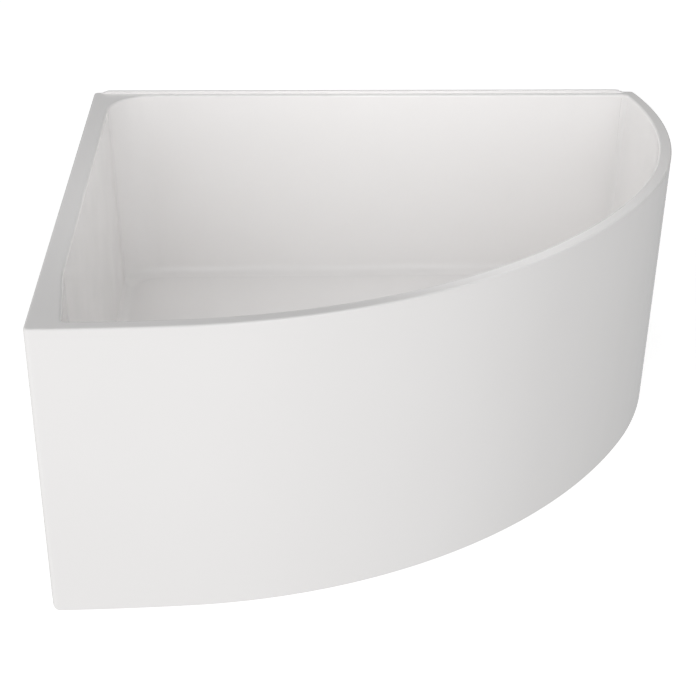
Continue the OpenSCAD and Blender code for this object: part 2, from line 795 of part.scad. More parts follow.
module waste_seal() {
  color("dimgray") from_wall_corner() at_waste(seal_z - seal_t) difference() {
    cylinder(d = seal_d, h = seal_t);
    translate([0, 0, -cut]) cylinder(d = waste_hole, h = seal_t + 2 * cut);
  }
}

body_top = seal_z - seal_t;
body_z = body_top - chamber_h;
outlet_z = body_z + outlet_d / 2 + 2;
pipe_z = body_z + pipe_rise;
inlet_reach = chamber_d / 2 + 26;
// Grip of a pipe in its socket
socket_grip = 18;
inlet_d = pipe_d + 2 * seat + 2 * pipe_wall;
// Reach of the shoulder that stops the pipe pushed over the outlet
outlet_stop = 8;
// A thread collar inside the top of the body takes the flange's tail
collar_h = 16;
module waste_body() {
  color("whitesmoke") from_wall_corner() at_waste() difference() {
    union() {
      translate([0, 0, body_top - 4]) cylinder(d = seal_d, h = 4);
      translate([0, 0, body_z]) cylinder(d = chamber_d, h = chamber_h);
      translate([0, 0, outlet_z]) rotate([-90, 0, 0]) {
        cylinder(d = outlet_d, h = outlet_l);
        cylinder(d = outlet_d + 6, h = chamber_d / 2 + outlet_stop);
      }
      translate([0, 0, pipe_z]) rotate([0, -90, 0]) cylinder(d = inlet_d, h = inlet_reach);
      translate([-inlet_reach, 0, pipe_z]) rotate([0, 90, 0]) cylinder(d = inlet_d + 3, h = 4);
    }
    translate([0, 0, body_z + pipe_wall])
      cylinder(d = chamber_d - 2 * pipe_wall, h = chamber_h - pipe_wall - collar_h);
    translate([0, 0, body_top - collar_h - cut])
      cylinder(d = tail_d + 2 * thread_gap, h = collar_h + 2 * cut);
    translate([0, 0, outlet_z]) rotate([-90, 0, 0])
      cylinder(d = outlet_d - 2 * pipe_wall, h = outlet_l + cut);
    translate([0, 0, pipe_z]) rotate([0, -90, 0]) cylinder(d = pipe_d - 2, h = inlet_reach + cut);
    translate([-inlet_reach - cut, 0, pipe_z]) rotate([0, 90, 0])
      cylinder(d = pipe_d + 2 * seat, h = socket_grip + cut);
  }
}

// Plug: a domed cap on a stem that slides in the press cartridge
cap_lift = 1.6;
cap_z = floor_z + cap_lift;
cartridge_sink = 6.5;
cartridge_floor = 3;
cartridge_z = floor_z - cartridge_sink - cartridge_h;
stem_z = cartridge_z + cartridge_floor + seat;
module press_cartridge() {
  color("whitesmoke") from_wall_corner() at_waste() difference() {
    union() {
      translate([0, 0, cartridge_z]) cylinder(d = cartridge_d, h = cartridge_h);
      translate([0, 0, spider_z + spider_h]) cylinder(d = cartridge_d + 4, h = 2);
    }
    translate([0, 0, stem_z - seat]) cylinder(d = stem_d + 2 * slide_gap, h = cartridge_h);
  }
}
module waste_plug() {
  color("gainsboro") from_wall_corner() at_waste() {
    rotate_extrude() difference() {
      polygon([
        [0, cap_z], [cap_d / 2 - 1, cap_z], [cap_d / 2, cap_z + 1],
        [cap_d / 2 - 3, cap_z + cap_t * 0.5], [cap_d / 4, cap_z + cap_t * 0.9], [0, cap_z + cap_t]
      ]);
      translate([plug_seal_d / 2 - 4, cap_z - cut]) square([4, cut + 1]);
    }
    translate([0, 0, stem_z]) cylinder(d = stem_d, h = cap_z - stem_z + cap_t / 2);
  }
}
// Ring in a groove under the cap
plug_seal_d = mouth_d + 10;
module plug_seal() {
  color("dimgray") from_wall_corner() at_waste(floor_z + seat) rotate_extrude()
    translate([plug_seal_d / 2 - 4 + slide_gap, 0])
      square([4 - 2 * slide_gap, cap_z + 1 - slide_gap - floor_z - seat]);
}

// Overflow: cover inside, seal and elbow outside, drawn together by one screw
elbow_in = -sheet_t - seal_t;
cover_wall = 2;
overflow_bolt = 5;
post_d = 12;
module overflow_cover() {
  color("gainsboro") from_wall_corner() at_overflow() difference() {
    rotate([0, 90, 0]) rotate_extrude() polygon([
      [0, cover_t - cover_wall], [cover_d / 2 - 5, cover_t - cover_wall],
      [cover_d / 2 - cover_wall, cover_t - 5], [cover_d / 2 - cover_wall, bond],
      [cover_d / 2, bond], [cover_d / 2, cover_t - 4], [cover_d / 2 - 4, cover_t], [0, cover_t]
    ]);
    translate([bond - cut, -cover_d / 4, -cover_d]) cube([cover_t - 5, cover_d / 2, cover_d]);
    translate([-cut, 0, 0]) rotate([0, 90, 0])
      cylinder(d = overflow_bolt + 2 * bore_gap, h = cover_t + 2 * cut);
  }
}
module overflow_screw() {
  color("gainsboro") from_wall_corner() at_overflow() rotate([0, 90, 0]) {
    translate([0, 0, cover_t]) cylinder(d1 = overflow_bolt * 2, d2 = overflow_bolt * 1.6, h = 2);
    translate([0, 0, elbow_in - 10]) cylinder(d = overflow_bolt, h = cover_t + 10 - elbow_in + weld);
  }
}
module overflow_seal() {
  color("dimgray") from_wall_corner() at_overflow() rotate([0, 90, 0])
    translate([0, 0, elbow_in]) difference() {
      cylinder(d = cover_d - 4, h = seal_t);
      translate([0, 0, -cut]) cylinder(d = overflow_hole, h = seal_t + 2 * cut);
    }
}
spigot_z = overflow_z - elbow_d / 2 - 24;
module at_pipe(z = 0) {
  translate([pipe_p.x, pipe_p.y, z]) children();
}
module overflow_elbow() {
  back = -pipe_back - elbow_d / 2 + 1;
  color("whitesmoke") from_wall_corner() difference() {
    union() {
      overflow_rod(cover_d - 4, elbow_in - 3, elbow_in);
      overflow_rod(elbow_d, back, elbow_in);
      at_pipe(spigot_z) cylinder(d = inlet_d, h = overflow_z - spigot_z);
      at_pipe(spigot_z) cylinder(d = inlet_d + 3, h = 4);
    }
    difference() {
      overflow_rod(elbow_d - 2 * pipe_wall, back + pipe_wall, elbow_in + cut);
      overflow_rod(post_d, back, elbow_in - 1);
    }
    overflow_rod(overflow_bolt + 2 * screw_gap, elbow_in - 11, elbow_in + cut);
    at_pipe(spigot_z) difference() {
      cylinder(d = pipe_d - 2, h = overflow_z - spigot_z);
      translate([0, 0, overflow_z - spigot_z - post_d / 2]) cylinder(d = post_d, h = post_d);
    }
    at_pipe(spigot_z - cut) cylinder(d = pipe_d + 2 * seat, h = socket_grip + cut);
  }
}

// Pipe from the elbow's socket down, round one bend and along to the waste
inlet_x = waste_x - inlet_reach;
pipe_top = spigot_z + socket_grip - 1;
module pipe_run(d) {
  at_pipe(pipe_z + pipe_bend) cylinder(d = d, h = pipe_top - pipe_z - pipe_bend);
  at_pipe(pipe_z + pipe_bend) translate([pipe_bend, 0, 0]) rotate([90, 0, 0])
    rotate([0, 0, 180]) rotate_extrude(angle = 90) translate([pipe_bend, 0]) circle(d = d);
  translate([pipe_p.x + pipe_bend, pipe_p.y, pipe_z]) rotate([0, 90, 0])
    cylinder(d = d, h = inlet_x + socket_grip - 1 - pipe_p.x - pipe_bend);
}
module overflow_pipe() {
  color("whitesmoke") from_wall_corner() difference() {
    pipe_run(pipe_d);
    pipe_run(pipe_d - 2 * pipe_wall);
  }
}
// Collar nuts over the two sockets, and the cone seals that they press in
nut_reach = 14;
nut_d = inlet_d + 7;
module collar_nut() {
  difference() {
    union() {
      cylinder(d = nut_d, h = nut_reach);
      for (a = [0:30:330]) rotate([0, 0, a]) translate([nut_d / 2 - 1, -1.5, 0])
        cube([2, 3, nut_reach]);
    }
    translate([0, 0, -cut]) cylinder(d = pipe_d + 2 * bore_gap, h = nut_reach + 2 * cut);
    translate([0, 0, 4]) cylinder(d = inlet_d + 3 + 2 * seat, h = nut_reach);
  }
}
module cone_seal() {
  difference() {
    cylinder(d = inlet_d + 2, h = 2.4);
    translate([0, 0, -cut]) cylinder(d = pipe_d + 2 * screw_gap, h = 2.4 + 2 * cut);
  }
}
seal_gap = 2.6;
module pipe_nuts() {
  color("whitesmoke") from_wall_corner() {
    at_pipe(spigot_z - seal_gap - 4) collar_nut();
    translate([inlet_x - seal_gap - 4, waste_y, pipe_z]) rotate([0, 90, 0]) collar_nut();
  }
}
module pipe_seals() {
  color("dimgray") from_wall_corner() {
    at_pipe(spigot_z - seal_gap + 0.1) cone_seal();
    translate([inlet_x - seal_gap + 0.1, waste_y, pipe_z]) rotate([0, 90, 0]) cone_seal();
  }
}

basin_shell();
glassfibre_backing();
base_board();
steel_frame();
frame_screws();
frame_nuts();
lock_nuts();
skirt_panel();
skirt_blocks();
skirt_stays();
stay_screws();
wall_brackets();
waste_flange();
waste_washer();
waste_seal();
waste_body();
press_cartridge();
waste_plug();
plug_seal();
overflow_cover();
overflow_seal();
overflow_elbow();
overflow_screw();
overflow_pipe();
pipe_nuts();
pipe_seals();
for (k = [1:5]) {
  leg_stud(k);
  foot_pad(k);
}
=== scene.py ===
# %% [markdown]
# A corner bath, dressed step by step. The bath is a moulded acrylic basin with a curved
# skirt, on a steel frame with levelling legs. The construction is already packed as a
# fixed frame, in metres. This lesson models the surfaces that a visitor sees, then the
# hardware, drains and fixings that hide behind them.

# %% Load the frame
import math

import bmesh
import bpy
from mathutils import Matrix, Vector


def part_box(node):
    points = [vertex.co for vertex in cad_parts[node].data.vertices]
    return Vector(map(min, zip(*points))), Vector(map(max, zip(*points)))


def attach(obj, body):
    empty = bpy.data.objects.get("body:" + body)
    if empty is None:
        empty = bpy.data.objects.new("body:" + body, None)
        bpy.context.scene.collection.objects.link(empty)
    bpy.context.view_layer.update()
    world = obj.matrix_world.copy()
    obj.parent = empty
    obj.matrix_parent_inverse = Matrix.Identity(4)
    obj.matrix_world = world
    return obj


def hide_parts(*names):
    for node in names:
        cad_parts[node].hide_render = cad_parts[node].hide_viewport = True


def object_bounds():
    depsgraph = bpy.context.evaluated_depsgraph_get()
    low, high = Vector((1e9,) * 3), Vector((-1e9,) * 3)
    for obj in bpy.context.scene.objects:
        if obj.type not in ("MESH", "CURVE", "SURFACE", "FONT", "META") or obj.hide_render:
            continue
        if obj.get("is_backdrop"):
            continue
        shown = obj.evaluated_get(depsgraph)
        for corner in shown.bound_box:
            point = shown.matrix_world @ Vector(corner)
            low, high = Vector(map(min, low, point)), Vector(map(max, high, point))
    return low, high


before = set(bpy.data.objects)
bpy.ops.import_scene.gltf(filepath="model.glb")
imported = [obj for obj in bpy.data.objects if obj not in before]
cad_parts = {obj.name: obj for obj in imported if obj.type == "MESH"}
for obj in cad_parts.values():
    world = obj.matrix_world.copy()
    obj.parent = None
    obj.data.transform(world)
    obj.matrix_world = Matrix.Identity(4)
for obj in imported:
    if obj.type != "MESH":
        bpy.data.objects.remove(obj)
cad_low, cad_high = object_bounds()
MM = 0.001
print("frame:", len(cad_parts), "nodes in a box of", tuple(cad_high - cad_low))

# %% [markdown]
# The camera comes first, because every later choice is judged through it. The lens and
# the place were worked out from the straight edges of the bath: its left side, its back
# side, its upright corners and the long curves of its rim and its foot. A long lens, well
# above the rim, looks down a third of the way to the vertical.

# %% Camera
camera_data = bpy.data.cameras.new("studio_camera")
camera = bpy.data.objects.new("studio_camera", camera_data)
bpy.context.scene.collection.objects.link(camera)
bpy.context.scene.camera = camera
camera_data.sensor_width = 36
camera_data.lens = 74.364
camera_turn, camera_tilt, camera_roll = -3.337, 29.566, 1.002
camera.location = (-0.2157, -2.4692, 1.6121)
camera.rotation_euler = (
    Matrix.Rotation(math.radians(camera_turn), 3, "Z")
    @ Matrix.Rotation(math.radians(90 - camera_tilt), 3, "X")
    @ Matrix.Rotation(math.radians(camera_roll), 3, "Z")
).to_euler()
print("camera at", tuple(camera.location))

# %% [markdown]
# The studio is a white sweep. White paint shows its form only if the light differs from
# side to side, so the sky is a sum of parts, each brightest in one direction: strong from
# the front and the left, weak from the right. The lens sees this world as pure white.

# %% World
bpy.context.scene.view_settings.view_transform = "Standard"


def link_nodes(tree, *pairs):
    for source, target in pairs:
        tree.links.new(source, target)


def sky_parts(tree, parts):
    """The brightness of the sky: for each part (axis, strength), direction times strength."""
    direction = tree.nodes.new("ShaderNodeTexCoord")
    axes = tree.nodes.new("ShaderNodeSeparateXYZ")
    link_nodes(tree, (direction.outputs["Generated"], axes.inputs[0]))
    total = None
    for axis, strength in parts:
        steps = [tree.nodes.new("ShaderNodeMath") for _ in range(3)]
        for step, operation, value in zip(steps, ("MULTIPLY", "MAXIMUM", "ADD"), (strength, 0, 0)):
            step.operation = operation
            step.inputs[1].default_value = value
        link_nodes(tree, (axes.outputs[axis], steps[0].inputs[0]), (steps[0].outputs[0], steps[1].inputs[0]),
                   (steps[1].outputs[0], steps[2].inputs[0]))
        if total is not None:
            link_nodes(tree, (total, steps[2].inputs[1]))
        total = steps[2].outputs[0]
    return total


def studio_world(seen, parts):
    """A world that the lens sees as plain white, and that lights by the parts of the sky."""
    world = bpy.data.worlds.new("studio")
    bpy.context.scene.world = world
    world.use_nodes = True
    tree = world.node_tree
    tree.nodes.clear()
    white = tree.nodes.new("ShaderNodeBackground")
    white.inputs["Strength"].default_value = seen
    soft = tree.nodes.new("ShaderNodeBackground")
    for background in (white, soft):
        background.inputs["Color"].default_value = (1, 1, 1, 1)
    link_nodes(tree, (sky_parts(tree, parts), soft.inputs["Strength"]))
    path = tree.nodes.new("ShaderNodeLightPath")
    mix = tree.nodes.new("ShaderNodeMixShader")
    out = tree.nodes.new("ShaderNodeOutputWorld")
    link_nodes(tree, (path.outputs["Is Camera Ray"], mix.inputs[0]), (soft.outputs[0], mix.inputs[1]),
               (white.outputs[0], mix.inputs[2]), (mix.outputs[0], out.inputs[0]))


sky = [("Z", -0.35), ("Z", 0.02), ("Y", -0.745), ("Y", 0.34), ("X", -0.75), ("X", 0.25)]
studio_world(1.1, sky)
print("sky of", len(sky), "parts")

# %% [markdown]
# The lamps are soft discs that the lens doesn't see. Two large ones stand in front, placed
# by degrees to the side and degrees up. Two small ones hang over the basin, because its
# back wall and its right wall would be left dark, and the gloss doesn't mirror these two.
# The floor is a disc far wider than the view, which throws no light on the bath.

# %% Lamps and floor
bath_middle = Vector((0, 0, 0.35))


def studio_lamp(name, place, aim, width, power):
    data = bpy.data.lights.new(name, "AREA")
    data.shape = "DISK"
    data.size = width
    data.energy = power
    lamp = bpy.data.objects.new(name, data)
    bpy.context.scene.collection.objects.link(lamp)
    lamp.location = place
    lamp.rotation_euler = (Vector(aim) - Vector(place)).to_track_quat("-Z", "Y").to_euler()
    lamp.visible_camera = False
    return lamp


def round_bath(azimuth, elevation, distance=4.0):
    """A place for a lamp, seen from the bath: azimuth 0 is in front, 90 at the right."""
    a, e = math.radians(azimuth), math.radians(elevation)
    way = Vector((math.sin(a) * math.cos(e), -math.cos(a) * math.cos(e), math.sin(e)))
    return bath_middle + distance * way


studio_lamp("left_lamp", round_bath(-30, 38), bath_middle, 2.6, 13.7)
studio_lamp("front_lamp", round_bath(20, 22), bath_middle, 2.6, 20.6)
for inner_lamp in (studio_lamp("basin_lamp", (0, -0.2, 0.95), (0, 0.52, 0.45), 0.6, 1.75),
                   studio_lamp("right_wall_lamp", (-0.35, 0.15, 0.85), (0.55, 0.25, 0.35), 0.4, 0.1)):
    inner_lamp.visible_glossy = False

bpy.ops.mesh.primitive_circle_add(vertices=96, radius=14, fill_type="NGON")
floor = bpy.context.object
floor.name = "floor"
floor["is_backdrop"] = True
floor.visible_diffuse = False
floor.visible_glossy = False
sweep = bpy.data.materials.new("white_sweep")
sweep.use_nodes = True
sweep_shader = sweep.node_tree.nodes["Principled BSDF"]
sweep_shader.inputs["Base Color"].default_value = (0.9, 0.9, 0.9, 1)
sweep_shader.inputs["Roughness"].default_value = 1
sweep_shader.inputs["Specular IOR Level"].default_value = 0
sweep_shader.inputs["Emission Color"].default_value = (1, 1, 1, 1)
sweep_shader.inputs["Emission Strength"].default_value = 0.62
floor.data.materials.append(sweep)
print("studio ready")

# %% [markdown]
# Every surface of the basin and the skirt follows one family of plan outlines: two
# straight sides along the walls, and a front of three arcs that run into each other. The
# outlines are written as a surveyor would, in plan from the corner of the two walls, as
# straight runs and turns round a centre. One function gives the outer outline, one the
# inner one, and both can be drawn in by a distance, which keeps all faces parallel.

# %% Plan outlines
bath_length = cad_high.x - cad_low.x
bath_depth = cad_high.y - cad_low.y
upstand_height = 6 * MM
rim_height = cad_high.z - upstand_height
wall_corner = Vector((cad_low.x, cad_high.y))
front_radius, front_turn = 4.5, 3
middle_turn = 54
end_radius = 0.72
rim_left, rim_back, rim_front = 39 * MM, 24 * MM, 24.5 * MM
corner_fillet, front_corner, end_corner = 90 * MM, 14 * MM, 12 * MM
plan_round = 9 * MM
knee_depth, knee_radius, panel_angle = bath_depth - 0.2, 0.12, 5.8
STEPS = {"corner": 18, "knee": 6, "small": 10, "front": 14, "middle": 54, "end": 44}


def polar(radius, degrees):
    turn = math.radians(degrees)
    return Vector((radius * math.cos(turn), radius * math.sin(turn)))


def degrees_of(vector):
    return math.degrees(math.atan2(vector.y, vector.x)) % 360


both_turns = front_turn + middle_turn
sin_front, sin_both = (math.sin(math.radians(a)) for a in (front_turn, both_turns))
middle_radius = ((bath_length - end_radius * (1 - sin_both) - front_radius * sin_front)
                 / (sin_both - sin_front))
front_c = Vector((0, front_radius - bath_depth))
middle_c = front_c + polar(front_radius - middle_radius, 270 + front_turn)
end_c = middle_c + polar(middle_radius - end_radius, 270 + both_turns)


def left_fillet(point, facing, radius, inset):
    """Centre of a fillet between the upright line through point and the front arc."""
    way = polar(1, facing + 90)
    q = point - polar(radius, facing) - front_c
    reach = front_radius - inset - radius
    along = q.dot(way)
    return point - polar(radius, facing) + (math.sqrt(along**2 - q.dot(q) + reach**2) - along) * way


def end_fillet(back, radius, inset):
    """Centre of a fillet between the end arc and the line that runs back from the wall."""
    rise = -back - radius - end_c.y
    return Vector((end_c.x + math.sqrt((end_radius - inset - radius) ** 2 - rise**2), -back - radius))


def front_turns(inset, left, right):
    """The three arcs of the front, as turns (centre, radius, from, to, steps)."""
    return [
        (front_c, front_radius - inset, degrees_of(left - front_c), 270 + front_turn, STEPS["front"]),
        (middle_c, middle_radius - inset, 270 + front_turn, 270 + both_turns, STEPS["middle"]),
        (end_c, end_radius - inset, 270 + both_turns, 360 + degrees_of(right - end_c), STEPS["end"]),
    ]


def outer_outline(inset):
    r = plan_round - inset
    left, right = left_fillet(Vector((inset, 0)), 180, r, inset), end_fillet(inset, r, inset)
    knee = [Vector((inset, -knee_depth - i * knee_radius * math.radians(panel_angle) / STEPS["knee"]))
            for i in range(STEPS["knee"] + 1)]
    return [(Vector((plan_round, -plan_round)), r, 90, 180, STEPS["corner"]), *knee,
            (left, r, 180, degrees_of(left - front_c), STEPS["small"]),
            *front_turns(inset, left, right),
            (right, r, degrees_of(right - end_c), 90, STEPS["small"])]


knee_c = Vector((rim_left + knee_radius, -knee_depth))


def panel_point(inset, along):
    return knee_c + polar(knee_radius - inset, 180 + panel_angle) + polar(along, 270 + panel_angle)


def inner_outline(inset):
    left = left_fillet(panel_point(inset, 0), 180 + panel_angle, front_corner, rim_front + inset)
    right = end_fillet(rim_back + inset, end_corner, rim_front + inset)
    corner = Vector((rim_left + corner_fillet, -rim_back - corner_fillet))
    return [(corner, corner_fillet - inset, 90, 180, STEPS["corner"]),
            (knee_c, knee_radius - inset, 180, 180 + panel_angle, STEPS["knee"]),
            (left, front_corner, 180 + panel_angle, degrees_of(left - front_c), STEPS["small"]),
            *front_turns(rim_front + inset, left, right),
            (right, end_corner, degrees_of(right - end_c), 90, STEPS["small"])]


print("front radii:", front_radius, round(middle_radius, 4), end_radius)

# %% [markdown]
# An outline is drawn in edit mode the way a pen draws it. A tiny plane merged to one
# vertex puts the pen down, an extruded vertex draws a straight run, and a spun vertex
# draws a true arc. Rings drawn like this all have as many points, so any two of them
# can be bridged into a clean band of quads. That is how a moulded skin with sloping
# walls and soft fillets is lofted here, instead of being carved from a block.

# %% Pen and loft
def new_mesh(name):
    """A fresh object in edit mode, with nothing in it yet."""
    if bpy.context.mode != "OBJECT":
        bpy.ops.object.mode_set(mode="OBJECT")
    bpy.ops.object.select_all(action="DESELECT")
    bpy.ops.mesh.primitive_plane_add(size=MM)
    piece = bpy.context.object
    piece.name = piece.data.name = name
    bpy.ops.object.mode_set(mode="EDIT")
    bpy.ops.mesh.select_mode(type="VERT")
    bpy.ops.mesh.delete(type="VERT")
    return piece


def pen_down(point):
    bpy.ops.mesh.primitive_plane_add(size=MM, location=point)
    bpy.ops.mesh.merge(type="CENTER")


def pull(way):
    """Extrudes what is selected, be it a point, a line or a face."""
    bpy.ops.mesh.extrude_region_move(TRANSFORM_OT_translate={"value": way})


def pen_line(start, end):
    pull(end - start)


def draw_outline(outline, z):
    """Draws runs and turns at height z and returns how many vertices that took."""
    place = None
    first = count = 0
    for move in outline:
        turn = isinstance(move, tuple)
        start = move[0] + polar(move[1], move[2]) if turn else move
        spot = Vector((*(start + wall_corner), z))
        if place is None:
            pen_down(spot)
            count += 1
        elif (spot - place).length > 1e-5:
            pen_line(place, spot)
            count += 1
        place = spot
        if turn:
            centre, radius, a0, a1, steps = move
            bpy.ops.mesh.spin(steps=steps, angle=math.radians(a0 - a1), axis=(0, 0, 1),
                              center=(*(centre + wall_corner), z))
            place = Vector((*(centre + polar(radius, a1) + wall_corner), z))
            count += steps
    return count


def edit_mesh():
    return bmesh.from_edit_mesh(bpy.context.object.data)


def select_where(kind, test):
    """Selects the vertices, edges or faces that pass the test, and nothing else."""
    bpy.ops.mesh.select_all(action="DESELECT")
    bpy.ops.mesh.select_mode(type={"verts": "VERT", "edges": "EDGE", "faces": "FACE"}[kind])
    mesh = edit_mesh()
    found = 0
    for item in getattr(mesh, kind):
        if test(item):
            item.select_set(True)
            found += 1
    bmesh.update_edit_mesh(bpy.context.object.data)
    return found


def ring_edges(size, *rings):
    """Test for the edges along one of the rings of so many vertices that still miss a face."""
    def test(edge):
        a, b = (v.index // size for v in edge.verts)
        return a == b and a in rings and len(edge.link_faces) < 2
    return test


def loft(name, rings, closed=True, looped=False):
    """A skin through rings, each an outline and a height. Open outlines make a band, and
    a looped section joins its last ring to its first one. Two closed rings at one height
    are filled as a flat face with a hole, because a bridge could cross itself there."""
    new_mesh(name)
    for outline, z in rings:
        size = draw_outline(outline, z)
    if closed:
        for k in range(len(rings)):
            select_where("verts", lambda v: v.index in (k * size, (k + 1) * size - 1))
            bpy.ops.mesh.edge_face_add()
    last = len(rings) if looped else len(rings) - 1
    for k in range(last):
        following = (k + 1) % len(rings)
        select_where("edges", ring_edges(size, k, following))
        if closed and abs(rings[k][1] - rings[following][1]) < 1e-6:
            bpy.ops.mesh.fill()
        else:
            bpy.ops.mesh.bridge_edge_loops()
    print(name, "rings:", len(rings), "of", size, "vertices")


def close_skin():
    """Closes what is open, turns all faces outwards and leaves edit mode."""
    bpy.ops.mesh.select_all(action="SELECT")
    bpy.ops.mesh.remove_doubles(threshold=1e-6)
    bpy.ops.mesh.fill_holes(sides=0)
    bpy.ops.mesh.normals_make_consistent(inside=False)
    bpy.ops.object.mode_set(mode="OBJECT")
    return bpy.context.object

# %% [markdown]
# The basin is one sheet, five millimetres thick, drawn down over a mould. Its skin runs
# from the underside of the floor up the outside of the walls, under the rim, over the
# turned-down edge, across the rim and down the inside to the floor. The rim's edges are
# rounded in small steps, and the walls lean in by one and a half degrees, as a sheet
# needs to come off its mould.

# %% Basin skin
sheet = 5 * MM
rim_drop = 14 * MM
basin_depth = 0.42
floor_z = rim_height - basin_depth
floor_fillet = 25 * MM
wall_angle = 1.5
wall_lean = math.tan(math.radians(wall_angle))
edge_round, lip_round = 4 * MM, 5 * MM
flat_inset = (basin_depth - floor_fillet) * wall_lean + floor_fillet


def quarter(steps):
    return [math.radians(90 * i / steps) for i in range(steps + 1)]


def wall_ring(out, drop):
    return inner_outline(drop * wall_lean - out), rim_height - drop


def fillet_rings(out, steps=9):
    """The floor fillet at a distance out from the inner face, from the floor up."""
    r = floor_fillet + out
    return [(inner_outline(flat_inset - r * math.cos(a)), floor_z + floor_fillet - r * math.sin(a))
            for a in reversed(quarter(steps))]


edge_rings = [(outer_outline(edge_round * (1 - math.cos(a))), rim_height - edge_round * (1 - math.sin(a)))
              for a in quarter(6)]
lip_rings = [(inner_outline(lip_round * (math.sin(a) - 1)), rim_height - lip_round * (1 - math.cos(a)))
             for a in quarter(6)]
under_rings = [wall_ring(sheet, sheet), (outer_outline(sheet), rim_height - sheet),
               (outer_outline(sheet), rim_height - rim_drop), (outer_outline(0), rim_height - rim_drop)]
loft("basin", [*fillet_rings(sheet), *under_rings, *edge_rings, *lip_rings, *reversed(fillet_rings(0))])
basin = close_skin()

# %% [markdown]
# Round things are turned, as on a lathe: half a section is drawn with the pen, its
# corners are rounded with a vertex bevel, and the whole line is spun once round. The
# helper takes points of radius and height, with a rounding as a third number.

# %% Turning and carving
def draw_line(spots, roundings=()):
    """Draws a line through spots, then rounds the corners (spot, radius) that are named."""
    pen_down(spots[0])
    for a, b in zip(spots, spots[1:]):
        pen_line(a, b)
    for spot, radius in roundings:
        select_where("verts", lambda v: (v.co - spot).length < 1e-6)
        bpy.ops.mesh.bevel(offset=radius, segments=4, affect="VERTICES")


def turned(name, section, steps=64, looped=False, place=None):
    """A solid turned round the upright axis from points (radius, height[, rounding])."""
    piece = new_mesh(name)
    spots = [Vector((p[0], 0, p[1])) for p in section]
    draw_line(spots, [(s, p[2]) for s, p in zip(spots, section) if len(p) > 2])
    if looped:
        select_where("verts", lambda v: len(v.link_edges) == 1)
        bpy.ops.mesh.edge_face_add()
    bpy.ops.mesh.select_all(action="SELECT")
    bpy.ops.mesh.spin(steps=steps, angle=math.tau, center=(0, 0, 0), axis=(0, 0, 1))
    close_skin()
    if place is not None:
        settle(piece, place)
    return piece


def rod(radius, low, high, steps=64, place=None):
    """A plain rod between two heights: the tool that drills a hole."""
    return turned("rod", [(0, low), (radius, low), (radius, high), (0, high)], steps, place=place)


def settle(piece, place):
    """Puts a piece in its place and keeps that place in its mesh."""
    piece.matrix_world = place
    choose(piece)
    bpy.ops.object.transform_apply(location=True, rotation=True, scale=True)


def choose(*pieces):
    if bpy.context.mode != "OBJECT":
        bpy.ops.object.mode_set(mode="OBJECT")
    bpy.ops.object.select_all(action="DESELECT")
    for piece in pieces:
        piece.select_set(True)
    bpy.context.view_layer.objects.active = pieces[0]


def apply_modifier(piece, kind, **settings):
    choose(piece)
    bpy.ops.object.modifier_add(type=kind)
    modifier = piece.modifiers[-1]
    for setting, value in settings.items():
        setattr(modifier, setting, value)
    bpy.ops.object.modifier_apply(modifier=modifier.name)


def carve(piece, tool, operation="DIFFERENCE"):
    apply_modifier(piece, "BOOLEAN", operation=operation, solver="EXACT", object=tool)
    bpy.data.objects.remove(tool)


def at_wall(x, y, z):
    """A place measured from the corner of the walls, at a height over the floor."""
    return Vector((wall_corner.x + x, wall_corner.y + y, z))


# %% [markdown]
# The waste sits in a shallow dish near the front left, in line with the overflow on the
# angled panel above it. The dish hangs under the floor as a boss with the same wall.
# Both are turned shapes: one is added, and the other, with a softly flared rim, is cut.

# %% Dish, waste hole and overflow hole
waste_low, waste_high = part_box("waste_plug")
waste = ((waste_low + waste_high) / 2).xy
dish_depth, dish_radius, waste_radius = 3.5 * MM, 35.3 * MM, 26 * MM
dish_z = floor_z - dish_depth
seal_z = dish_z - sheet
at_waste = Matrix.Translation((*waste, 0))
boss_radius = dish_radius + sheet
boss = turned("boss", [(0, floor_z - MM), (boss_radius, floor_z - MM), (boss_radius, seal_z, MM),
                       (0, seal_z)], place=at_waste)
carve(basin, boss, "UNION")
flare = 2 * MM
lip = [(dish_radius + flare * (1 - math.cos(a)), floor_z - flare * (1 - math.sin(a))) for a in quarter(5)]
dish = turned("dish", [(0, seal_z - MM), (waste_radius, seal_z - MM), (waste_radius, dish_z),
                       (dish_radius, dish_z, MM), *lip, (dish_radius + flare, floor_z + MM),
                       (0, floor_z + MM)], place=at_waste)
carve(basin, dish)

overflow_drop, overflow_along, overflow_radius = 0.11, 84 * MM, 17 * MM
overflow_spot = panel_point(overflow_drop * wall_lean, overflow_along)
at_overflow = (Matrix.Translation(at_wall(*overflow_spot, rim_height - overflow_drop))
               @ Matrix.Rotation(math.radians(panel_angle), 4, "Z")
               @ Matrix.Rotation(math.radians(90 - wall_angle), 4, "Y"))
carve(basin, rod(overflow_radius, -2 * sheet, sheet, place=at_overflow))
print("holes cut, waste at", tuple(waste))

# %% [markdown]
# At the right of the back wall the mould leaves a shallow recess. It is deepest under the
# rim and fades out downwards, and its free upper corner is round. A flat tongue with that
# outline, tilted by the little angle between its own floor and the wall, cuts it.

# %% Recess in the back wall
recess_width, recess_height, recess_depth = 0.104, 0.13, 2.5 * MM
recess_drop, recess_corner = 8 * MM, 12 * MM


def face_and_extrude(depth):
    """Fills the drawn, closed line and pulls it to a solid."""
    select_where("verts", lambda v: len(v.link_edges) == 1)
    bpy.ops.mesh.edge_face_add()
    bpy.ops.mesh.select_all(action="SELECT")
    bpy.ops.mesh.edge_face_add()
    pull(depth)
    return close_skin()


